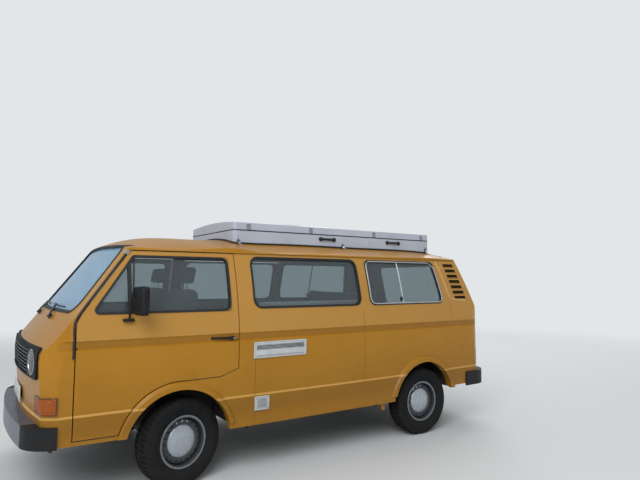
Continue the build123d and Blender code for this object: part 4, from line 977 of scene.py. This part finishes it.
def vent_plate(part, x0, x1, z0, z1, rows):
    """White plate with a raised rim; each row is a slotted field with its bars and a sheet of painted shade
    behind them.
    """
    x, z = (x0 + x1) / 2, (z0 + z1) / 2
    flat = side_y("side_left", x, z, 1)
    low, high = (side_y("side_left", x, level, 1, flat) for level in (z0 + 0.01, z1 - 0.01))
    lean = Matrix.Rotation(math.atan2(low - high, z1 - z0 - 0.02), 4, "X")
    half_x, half_z = (x1 - x0) / 2, (z1 - z0) / 2
    plate = bmesh.new()
    box_in(plate, (-half_x, -0.0035, -half_z), (half_x, 0.0035, half_z), 0.003, 3)
    u, v = half_x - 0.006, half_z - 0.006
    rim = [(-u, 0.0040, -v), (u, 0.0040, -v), (u, 0.0040, v), (-u, 0.0040, v)]
    for start, end in zip(rim, rim[1:] + rim[:1]):
        rod_in(plate, start, end, 0.0036, 10)
    for r0, r1, lines, back in rows:
        box_in(plate, (-half_x + 0.024, 0.0034, r0), (half_x - 0.024, 0.0044, r1), 0.0006, 1, back)
        for i in range(lines):
            z_bar = r0 + (i + 0.5) * (r1 - r0) / lines
            box_in(plate, (-half_x + 0.023, 0.0036, z_bar - 0.0013), (half_x - 0.023, 0.0080, z_bar + 0.0013),
                   0.0010, 2, 0, Matrix.Rotation(math.radians(-25.0), 4, "X"))
    for sx in (-1, 1):
        for sz in (-1, 1):
            u, v = sx * (half_x - 0.014), sz * (half_z - 0.014)
            rod_in(plate, (u, 0.0030, v), (u, 0.0055, v), 0.0035, 12, 0.003, 2)
    merge(part, plate, None, Matrix.Translation((x, (low + high) / 2 + 0.0035, z)) @ lean)


def side_vents():
    """Fridge vent and the small service grille on the left side."""
    part = bmesh.new()
    # The sheets behind the bars are painted shade: near black in the fridge vent, grey white in the service
    # grille
    vent_plate(part, 0.163, 0.652, 0.886, 1.016, [(0.002, 0.040, 4, 1), (-0.050, -0.043, 1, 1)])
    vent_plate(part, 0.509, 0.640, 0.480, 0.590, [(-0.036, 0.036, 9, 3)])
    finish_piece("vent_plates", part, [VENT_WHITE, SLOT_PAINTED_SHADE, BRIGHT_STEEL, VENT_PAINTED_SHADE],
                 takes=["side_vents"])


side_vents()

# ---- Seats ------------------------------------------------------------------

SEAT_X = FRONT_AXLE + 0.150
SEAT_BASE_Z = 0.7283
BENCH_FRONT_X = -0.181
BENCH_REAR_X = -0.7007
BENCH_Y = 0.090


def crowned_pad(name, size, place, voxel, corner, swell, rests):
    """A padded block: rounded, remeshed and blown up a little by cloth pressure. Gives its skin."""
    part = block([v - 0.012 for v in size])
    round_off(part, part.edges[:], corner, 5)
    mesh = bpy.data.meshes.new(name)
    part.to_mesh(mesh)
    part.free()
    pad = bpy.data.objects.new(name, mesh)
    bpy.context.collection.objects.link(pad)
    remesh = pad.modifiers.new("remesh", "REMESH")
    remesh.mode = "VOXEL"
    remesh.voxel_size = voxel
    mesh = bpy.data.meshes.new_from_object(pad.evaluated_get(bpy.context.evaluated_depsgraph_get()))
    pad.modifiers.clear()
    pad.data = mesh
    cloth = pad.modifiers.new("cloth", "CLOTH")
    cloth.settings.use_pressure = True
    cloth.settings.uniform_pressure_force = 4.0
    cloth.settings.effector_weights.gravity = 0.0
    for step in range(1, 21):
        bpy.context.scene.frame_set(step)
    blown = pad.evaluated_get(bpy.context.evaluated_depsgraph_get()).data
    moved = [vert.co.copy() for vert in blown.vertices]
    pad.modifiers.clear()
    bpy.context.scene.frame_set(1)
    for vert, after in zip(pad.data.vertices, moved):
        shift = after - vert.co
        if shift.length > swell:
            shift = shift.normalized() * swell
        vert.co += shift
        if rests:
            vert.co.z = max(vert.co.z, -size[2] / 2)
    pad.data.transform(place)
    pad.data.materials.append(CLOTH)
    for face in pad.data.polygons:
        face.use_smooth = True
    smooth = pad.modifiers.new("smooth", "SUBSURF")
    smooth.levels = 1
    smooth.render_levels = 1
    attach(pad, "shell")
    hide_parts("seats")
    return BVHTree.FromPolygons([vert.co for vert in pad.data.vertices],
                                [face.vertices[:] for face in pad.data.polygons])


def seat_pad(trim, name, size, place, axis, voxel, corner, cords=(), swell=0.022, rests=False, inset=0.012,
             welt_half=0.0034):
    """A cushion facing along one of its own axes, with its piped welt and the cords of its channels."""
    skin = crowned_pad(name, size, place, voxel, corner, swell, rests)
    across = [i for i in range(3) if i != axis]
    half = [size[i] / 2 - inset for i in across]
    path = []
    for u, v in dense_loop(round_rectangle([-h for h in half], half, 0.03), 0.04):
        point = Vector((0, 0, 0))
        point[axis], point[across[0]], point[across[1]] = size[axis] / 2 - inset, u, v
        path.append(skin.find_nearest(place @ point)[0])
    sweep_in(trim, path, welt_half)
    for at in cords:
        path = []
        for step in range(17):
            point = Vector((0, at, 0))
            point[axis] = size[axis] / 2 + 0.02
            point[2 - axis] = (size[2 - axis] / 2 - 0.035) * (step / 8 - 1.0)
            path.append(skin.find_nearest(place @ point)[0])
        sweep_in(trim, path, 0.0022)


def seats():
    """Cab seats with backs and headrests, and the rear bench on its laminate box."""
    lean = Matrix.Rotation(math.radians(-12.0), 4, "Y")
    trim = bmesh.new()
    for sign, side in SIDES:
        y = sign * 0.400
        seat_pad(trim, f"seat_cushion_{side}", (0.500, 0.480, 0.150), stand((SEAT_X, y, SEAT_BASE_Z + 0.075)),
                 2, 0.009, 0.035, (-0.08, 0.08), rests=True)
        seat_pad(trim, f"seat_back_{side}", (0.120, 0.470, 0.620),
                 stand((SEAT_X - 0.265, y, SEAT_BASE_Z + 0.420), -12.0, "Y"), 0, 0.009, 0.04, (-0.08, 0.08))
        seat_pad(trim, f"headrest_{side}", (0.080, 0.270, 0.150),
                 stand((SEAT_X - 0.345, y, SEAT_BASE_Z + 0.815), -12.0, "Y"), 0, 0.006, 0.030, swell=0.010,
                 inset=0.010, welt_half=0.0025)
        for post_y in (y - 0.060, y + 0.060):
            middle = Vector((SEAT_X - 0.328, post_y, SEAT_BASE_Z + 0.735))
            rod_in(trim, middle - lean @ Vector((0, 0, 0.08)), middle + lean @ Vector((0, 0, 0.06)), 0.006,
                   finish=1)
        pivot = Vector((SEAT_X - 0.205, y, SEAT_BASE_Z + 0.10))
        rod_in(trim, pivot + Vector((0, 0.16, 0)), pivot + Vector((0, 0.238, 0)), 0.032, 28, finish=2)
    seat_pad(trim, "bench_cushion", (0.505, 1.215, 0.125),
             stand(((BENCH_FRONT_X + BENCH_REAR_X) / 2, BENCH_Y, 0.8475)), 2, 0.014, 0.04, (-0.30, 0.0, 0.30),
             rests=True)
    seat_pad(trim, "bench_back", (0.120, 1.160, 0.520), stand((-0.741, BENCH_Y, 1.150), -10.0, "Y"), 0, 0.014,
             0.045, (-0.29, 0.0, 0.29))
    finish_piece("seat_piping", trim, [CLOTH, CHROME, TRIM_PLASTIC], takes=["seats"])
    base = bmesh.new()
    box_in(base, (BENCH_REAR_X, -0.515, 0.4803), (BENCH_FRONT_X - 0.010, 0.695, 0.785), 0.004)
    for y0, y1 in ((-0.49, 0.08), (0.10, 0.67)):
        middle = (y0 + y1) / 2
        box_in(base, (BENCH_FRONT_X - 0.012, y0, 0.52), (BENCH_FRONT_X - 0.0035, y1, 0.765), 0.003)
        box_in(base, (BENCH_FRONT_X - 0.004, middle - 0.035, 0.735),
               (BENCH_FRONT_X + 0.001, middle + 0.035, 0.750), 0.002, 2, 1)
    finish_piece("bench_box", base, [WOOD, BLACK_PLASTIC], takes=["seats"])


seats()

# ---- Dashboard, steering wheel and cabinet ----------------------------------

DASH_X = FRONT_AXLE + 0.690
WHEEL_Y = 0.400
RIM_R = 0.195


def steering_wheel():
    """Four-spoked wheel with a padded hub, finger grips under the rim and a boxed column."""
    part = bmesh.new()
    place = stand((DASH_X - 0.170, WHEEL_Y, 1.165), -32.0, "Y")
    turns = [2 * math.pi * i / 32 for i in range(33)]
    sweep_in(part, [place @ Vector((RIM_R * math.cos(t), RIM_R * math.sin(t), 0.0)) for t in turns], 0.0128)
    for angle in (18.0, 162.0, 205.0, 335.0):
        out = Vector((math.sin(math.radians(angle)) * 0.190, math.cos(math.radians(angle)) * 0.190, 0.0))
        spoke = (out * 0.22 + Vector((0, 0, -0.006)), out * 0.6 + Vector((0, 0, -0.010)), out)
        sweep_in(part, [place @ point for point in spoke], 0.0095)
    hub = bmesh.new()
    box_in(hub, (-0.062, -0.085, -0.020), (0.045, 0.085, 0.022), 0.018, 5)
    merge(part, hub, None, place)
    column = bmesh.new()
    box_in(column, (-0.035, -0.040, -0.290), (0.035, 0.040, -0.035), 0.014, 4)
    rod_in(column, (0, 0, -0.320), (0, 0, -0.280), 0.020, 24)
    merge(part, column, None, place)
    for way in (1, -1):
        start = place @ Vector((0.0, way * 0.035, -0.085))
        end = place @ Vector((0.012, way * 0.165, -0.060))
        sweep_in(part, [start, start.lerp(end, 0.5), end], 0.0055)
    box_in(part, (DASH_X - 0.036, WHEEL_Y - 0.030, 0.950), (DASH_X + 0.020, WHEEL_Y + 0.030, 1.060), 0.005)
    finish_piece("steering_wheel_shell", part, TRIM_PLASTIC, takes=["steering_wheel"])


def dash_details():
    """Instrument hood, dials, vents, glove-box lid and switches on the dashboard."""
    part = bmesh.new()
    face = DASH_X - 0.040

    def panel(back, front, y0, y1, z0, z1, bevel, segments=2, finish=0):
        box_in(part, (face + back, y0, z0), (face + front, y1, z1), bevel, segments, finish)
    panel(-0.030, 0.120, WHEEL_Y - 0.190, WHEEL_Y + 0.190, 1.150, 1.222, 0.020, 4)
    panel(-0.034, -0.028, WHEEL_Y - 0.165, WHEEL_Y + 0.165, 1.158, 1.210, 0.006, 2, 1)
    for y in (WHEEL_Y - 0.08, WHEEL_Y + 0.08):
        spun_in(part, [(0.0001, 0.0), (0.021, 0.0), (0.0225, 0.003), (0.0235, 0.003), (0.024, -0.001),
                       (0.0001, -0.001)], 32, stand((face - 0.034, y, 1.184), 90.0), 2)
    for y0, y1 in ((-0.72, -0.58), (-0.10, 0.02), (0.62, 0.74)):
        panel(-0.006, 0.004, y0, y1, 1.100, 1.145, 0.004, 2, 1)
        for z in (1.106 + i * 0.0105 for i in range(4)):
            panel(-0.010, -0.004, y0 + 0.006, y1 - 0.006, z, z + 0.004, 0.001, 1)
    panel(-0.008, 0.004, -0.62, -0.22, 0.985, 1.085, 0.008, 3)
    panel(-0.013, -0.006, -0.45, -0.39, 1.062, 1.074, 0.003, 2, 2)
    panel(-0.006, 0.004, -0.14, 0.06, 1.010, 1.070, 0.004, 2, 1)
    for y in (-0.11, 0.03):
        spun_in(part, [(0.0001, 0.014), (0.009, 0.014), (0.011, 0.01), (0.011, 0.0), (0.0001, 0.0)], 24,
                stand((face - 0.006, y, 1.040), 90.0), 2)
    finish_piece("dash_fittings", part, [TRIM_PLASTIC, GLOSS_BLACK, CHROME])


def cabinet_details():
    """Pale worktop with a lipped edge and upstand, door fronts with push catches, sink lid and cooker lid."""
    part = bmesh.new()
    front = 0.560
    box_in(part, (-0.633, front - 0.004, 1.262), (0.583, 0.800, 1.280), 0.005, 3, 1)
    box_in(part, (-0.560, 0.800, 1.270), (0.560, 0.814, 1.326), 0.004, 3, 4)
    for x0, x1 in ((-0.625, -0.235), (-0.225, 0.165), (0.175, 0.575)):
        for z0, z1, catch_z in ((0.86, 1.235, 1.205), (0.51, 0.85, 0.820)):
            box_in(part, (x0, front - 0.014, z0), (x1, front + 0.002, z1), 0.004)
            spun_in(part, [(0.0001, 0.006), (0.01, 0.006), (0.013, 0.003), (0.013, 0.0), (0.0001, 0.0)], 24,
                    stand(((x0 + x1) / 2, front - 0.014, catch_z), 180.0), 2)
    box_in(part, (-0.560, front + 0.030, 1.279), (-0.120, 0.780, 1.292), 0.008, 3, 3)
    box_in(part, (-0.070, front + 0.030, 1.279), (0.330, 0.780, 1.290), 0.008, 3, 3)
    finish_piece("cabinet_fronts", part, [WOOD, WORKTOP, BLACK_PLASTIC, ALU_FRAME, UPSTAND])


steering_wheel()
dash_details()
cabinet_details()

# ---- Roof box ---------------------------------------------------------------

BOX_SIDE_Y = 0.512
BOX_CORNER_R = 0.034
GRIP_Z = 1.902
GRIP_BUTTON = [(0.0001, 0.018), (0.014, 0.017), (0.02, 0.01), (0.021, 0.0), (0.0001, 0.0)]


def box_loop(rear, front, step):
    """Points round the roof box's outline, between two places behind the front axle."""
    corners = (FRONT_AXLE + rear, -BOX_SIDE_Y), (FRONT_AXLE + front, BOX_SIDE_Y)
    return dense_loop(round_rectangle(*corners, BOX_CORNER_R), step)


def lid_latches():
    """Over-centre clips: plate on the tray, bail and hooked lever on the lid."""
    part = bmesh.new()
    y = BOX_SIDE_Y
    for ahead in (-0.707, -1.362, -2.136, -2.807):
        x = FRONT_AXLE + ahead
        box_in(part, (x - 0.020, y, 1.958), (x + 0.020, y + 0.005, 2.002))
        box_in(part, (x - 0.014, y + 0.005, 1.952), (x + 0.014, y + 0.014, 1.972), 0.003, 3)
        for dx in (-0.010, 0.010):
            rod_in(part, (x + dx, y + 0.010, 1.965), (x + dx, y + 0.010, 1.996), 0.0022, 10)
        rod_in(part, (x - 0.012, y + 0.010, 1.996), (x + 0.012, y + 0.010, 1.996), 0.0026, 10)
    finish_piece("latch_clips", part, BRIGHT_STEEL, "roof_lid", ["lid_latches"])


def tray_grips():
    """Rubber straps on two buttons each."""
    part = bmesh.new()
    for sign, side in SIDES:
        for ahead in (-1.553, -2.393):
            x, y = FRONT_AXLE + ahead, sign * (BOX_SIDE_Y + 0.006)
            for dx in (-0.078, 0.078):
                button = stand((x + dx, sign * BOX_SIDE_Y, GRIP_Z)) @ Matrix.Diagonal((1, sign, 1, 1))
                spun_in(part, GRIP_BUTTON, 28, button)
            strap = [(-0.078, 0.006), (-0.04, 0.009), (0.04, 0.009), (0.078, 0.006)]
            sweep_in(part, [(x + dx, y + sign * out, GRIP_Z) for dx, out in strap], 0.0105)
    finish_piece("tray_grips", part, RUBBER)


def lid_hump():
    """Pressed hump of the lid, kept under the top of the solids."""
    hump = bmesh.new()
    x0, x1, half = FRONT_AXLE - 1.760, FRONT_AXLE - 1.080, 0.440
    ceiling = cad_box[1][2] - 0.0005
    bmesh.ops.create_grid(hump, x_segments=40, y_segments=32, size=0.5)
    for vert in hump.verts:
        u, v = vert.co.x * 2, vert.co.y * 2
        x, y = (x0 + x1) / 2 + u * (x1 - x0) / 2, v * half
        rise = max(0.0, (1 - min(1.0, abs(u)) ** 2.6) * (1 - min(1.0, abs(v)) ** 6))
        vert.co = (x, y, min(ceiling, top_z("roof_lid", x, y, 2.02) - 0.0015 + 0.028 * rise ** 0.8))
    finish_piece("lid_hump", hump, BOX_WHITE, "roof_lid", smooth=80.0)


def roof_clamps():
    """Clamps from the gutter to the tray's foot: bent strap, bolt and wing nut."""
    part = bmesh.new()
    for sign, side in SIDES:
        for ahead in (-0.610, -1.735, -2.870):
            x = FRONT_AXLE + ahead
            roof = top_z("roof_panel", x, sign * 0.580)
            strap = [(BOX_SIDE_Y + 0.004, 1.846), (0.530, 1.842), (0.538, roof + 0.020),
                     (0.560, roof + 0.006), (0.580, roof + 0.003)]
            for dx in (-0.009, 0.0, 0.009):
                sweep_in(part, [(x + dx, sign * y, z) for y, z in strap], 0.0046)
            rod_in(part, (x, sign * 0.516, 1.820), (x, sign * 0.516, 1.866), 0.0050, 14, None, 1)
            y = sign * 0.523
            box_in(part, (x - 0.016, y - 0.006, 1.815), (x + 0.016, y + 0.006, 1.850), 0.004, 2, 1)
    finish_piece("gutter_clamps", part, [BRIGHT_STEEL, BLACK_PLASTIC], takes=["roof_clamps"])


def lip_rubber():
    """Rubber bead in the lip under the lid."""
    part = bmesh.new()
    sweep_in(part, [(x, y, 1.9455) for x, y in box_loop(-2.910, -0.580, 0.06)], 0.0048)
    finish_piece("tray_lip_rubber", part, RUBBER)


def foot_rubber():
    """Black rubber under the tray, following the roof's curve."""
    part = bmesh.new()
    sweep_in(part, [(x, y * 1.004, top_z("roof_panel", x, y, 1.81) + 0.0055)
                    for x, y in box_loop(-2.925, -0.565, 0.05)], 0.0095)
    finish_piece("tray_foot_rubber", part, RUBBER)


lid_latches()
tray_grips()
lid_hump()
lip_rubber()
roof_clamps()

# ---- Air slots, jack brackets -----------------------------------------------

LOUVRE_COUNT = 7
LOUVRE_PITCH = 0.0564
LOUVRE_TALL = 0.040
LOUVRE_TOP_Z = 1.684
BEAD_LINE = [(-2.772, 1.706), (-2.794, 1.640), (-2.812, 1.567), (-2.834, 1.478), (-2.856, 1.395),
             (-2.872, 1.352), (-2.895, 1.325), (-2.939, 1.306), (-3.020, 1.300), (-3.125, 1.298)]


def louvres(sign, side):
    """Dark sheet of painted shade behind each air slot, and a thin blade under it."""
    node = f"side_{side}"
    part = bmesh.new()
    for row in range(LOUVRE_COUNT):
        grid = []
        for level in (0.0015, 0.5 * LOUVRE_TALL, LOUVRE_TALL - 0.0015):
            drop = row * LOUVRE_PITCH + level
            z = LOUVRE_TOP_Z - drop
            x0, x1 = FRONT_AXLE - 2.872 - drop * 0.233 - 0.002, FRONT_AXLE - 3.032 - drop * 0.280 + 0.002
            y0 = side_y(node, x0 + 0.018, z, sign, sign * pillar_half(z))
            y1 = side_y(node, x1 - 0.018, z, sign, y0)
            line = [(x0 + (x1 - x0) * step / 4, y0 + (y1 - y0) * step / 4 - sign * 0.006, z)
                    for step in range(5)]
            grid.append([part.verts.new(place) for place in line])
        for low, high in zip(grid, grid[1:]):
            for step in range(4):
                part.faces.new((low[step], low[step + 1], high[step + 1], high[step]))
        rod_in(part, (x0 - 0.002, y0 - sign * 0.003, z + 0.004), (x1 + 0.002, y1 - sign * 0.003, z + 0.004),
               0.0032, 10, None, 1)
    finish_piece(f"louvre_mesh_{side}", part, [LOUVRE_PAINTED_SHADE, ENAMEL])


def louvre_bead(sign, side):
    """Pressed bead in front of the air slots, running out under them, in paler enamel as a painted highlight.
    """
    part = bmesh.new()
    line = [(FRONT_AXLE + ahead, z) for ahead, z in BEAD_LINE]
    sweep_in(part, [(x, outer_y(x, z, sign, f"side_{side}") - sign * 0.0090, z) for x, z in line], 0.0185)
    finish_piece(f"louvre_bead_{side}", part, BEAD_PAINTED_HIGHLIGHT)


def jack_brackets():
    """Small pressed brackets for the jack under the sill, in front of the rear wheel."""
    part = bmesh.new()
    x = FRONT_AXLE - 1.930
    for sign, side in SIDES:
        y = sign * 0.880
        thin, deep = y - sign * 0.005, y - sign * 0.040
        box_in(part, (x - 0.045, y, 0.355), (x + 0.045, thin, 0.400))
        box_in(part, (x - 0.030, y, 0.305), (x + 0.012, thin, 0.358))
        box_in(part, (x - 0.030, y, 0.305), (x - 0.026, deep, 0.358), 0.0015)
    finish_piece("jack_brackets", part, ENAMEL)


for sign, side in SIDES:
    louvres(sign, side)
    louvre_bead(sign, side)
jack_brackets()

# ---- Right side, tail and plates --------------------------------------------


def right_side():
    """Sliding door's pull, and the fuel flap."""
    part = bmesh.new()
    y = side_y("sliding_door", 0.560, HANDLE_Z, -1, -0.915)
    bar = [(0.640, 0.006, 0.0105), (0.600, 0.020, 0.0100), (0.500, 0.020, 0.0085), (0.450, 0.006, 0.0075)]
    for (x0, lift0, radius0), (x1, lift1, radius1) in zip(bar, bar[1:]):
        rod_in(part, (x0, y - lift0, HANDLE_Z), (x1, y - lift1, HANDLE_Z), radius0, 20, radius1)
    for x, start, end, radius, sides, end_radius, finish in (
            (0.625, 0.002, -0.024, 0.0140, 28, 0.0130, 0), (0.625, -0.0235, -0.0260, 0.0080, 28, 0.0075, 1),
            (0.470, 0.002, -0.016, 0.0100, 20, 0.0080, 0)):
        rod_in(part, (x, y + start, HANDLE_Z), (x, y + end, HANDLE_Z), radius, sides, end_radius, finish)
    finish_piece("sliding_door_pull", part, [BLACK_PLASTIC, BRIGHT_STEEL])
    flap = bmesh.new()
    x, z = 0.745, 0.700
    y = side_y("side_right", x, z, -1, -0.920)
    box_in(flap, (x - 0.056, y - 0.0035, z - 0.060), (x + 0.056, y + 0.001, z + 0.060), 0.0030, 3)
    box_in(flap, (x - 0.059, y - 0.0010, z - 0.063), (x + 0.059, y + 0.001, z + 0.063), 0.0004, 1, 1)
    rod_in(flap, (x - 0.040, y - 0.002, z), (x - 0.040, y - 0.0060, z), 0.0095, 24, 0.0090, 2)
    for pin_z in (z - 0.035, z + 0.035):
        rod_in(flap, (x + 0.057, y - 0.003, pin_z - 0.010), (x + 0.057, y - 0.003, pin_z + 0.010), 0.0035, 12)
    finish_piece("fuel_flap", flap, [ENAMEL, RUBBER, BRIGHT_STEEL])


def plate_in(part, x, edge_x, low, edge_radius, finish):
    """A blank plate across the van, with a rolled edge."""
    high = low + 0.110
    box_in(part, (x, -0.260, low), (x + 0.0015, 0.260, high), 0.0007, 2, finish)
    y, z0, z1 = 0.2585, low + 0.0015, high - 0.0015
    for ends in (((-y, z0), (y, z0)), ((-y, z1), (y, z1)), ((-y, z0), (-y, z1)), ((y, z0), (y, z1))):
        rod_in(part, *[(edge_x, *end) for end in ends], edge_radius, 10, None, finish)


def tail_details():
    """Tailgate lock with its grip, and a lamp bar over a blank plate."""
    part = bmesh.new()
    x = end_x("tailgate", 0.0, 1.105, -1)
    box_in(part, (x - 0.0035, -0.075, 1.080), (x + 0.003, 0.075, 1.128), 0.006, 3)
    box_in(part, (x - 0.0100, -0.068, 1.112), (x - 0.001, 0.068, 1.124), 0.004, 3)
    spun_in(part, [(0.0001, 0.0058), (0.01, 0.0056), (0.012, 0.003), (0.012, 0.0), (0.0001, 0.0)], 28,
            stand((x - 0.0030, 0.0, 1.096), 90.0), 1)
    middle = end_x("tailgate", 0.0, 0.930, -1)
    face = max(min(middle, end_x("tailgate", 0.26, 0.930, -1, middle)) - 0.0018, cad_box[0][0] + 0.002)
    plate_in(part, face, face, 0.875, 0.0016, 2)
    box_in(part, (face - 0.0005, -0.115, 0.992), (x + 0.002, 0.115, 1.024), 0.007, 3)
    for y in (-0.060, 0.060):
        box_in(part, (face + 0.001, y - 0.028, 0.9895), (face + 0.018, y + 0.028, 0.9935), 0.0015, 2, 3)
    finish_piece("tailgate_furniture", part, [BLACK_PLASTIC, CHROME, PLATE, CLEAR],
                 "tailgate")


def front_plate():
    """Blank plate on the nose panel over the bumper, on two rubber blocks."""
    part = bmesh.new()
    x = end_x("nose_panel", 0.0, 0.665, 1)
    plate_in(part, x + 0.0110, x + 0.0126, 0.615, 0.0014, 0)
    for y in (-0.160, 0.160):
        back = end_x("nose_panel", y, 0.67, 1) - 0.0005
        box_in(part, (back, y - 0.02, 0.655), (x + 0.0112, y + 0.02, 0.685), 0.001, 2, 1)
    finish_piece("front_blank_plate", part, [PLATE, RUBBER])


right_side()
tail_details()
front_plate()
foot_rubber()
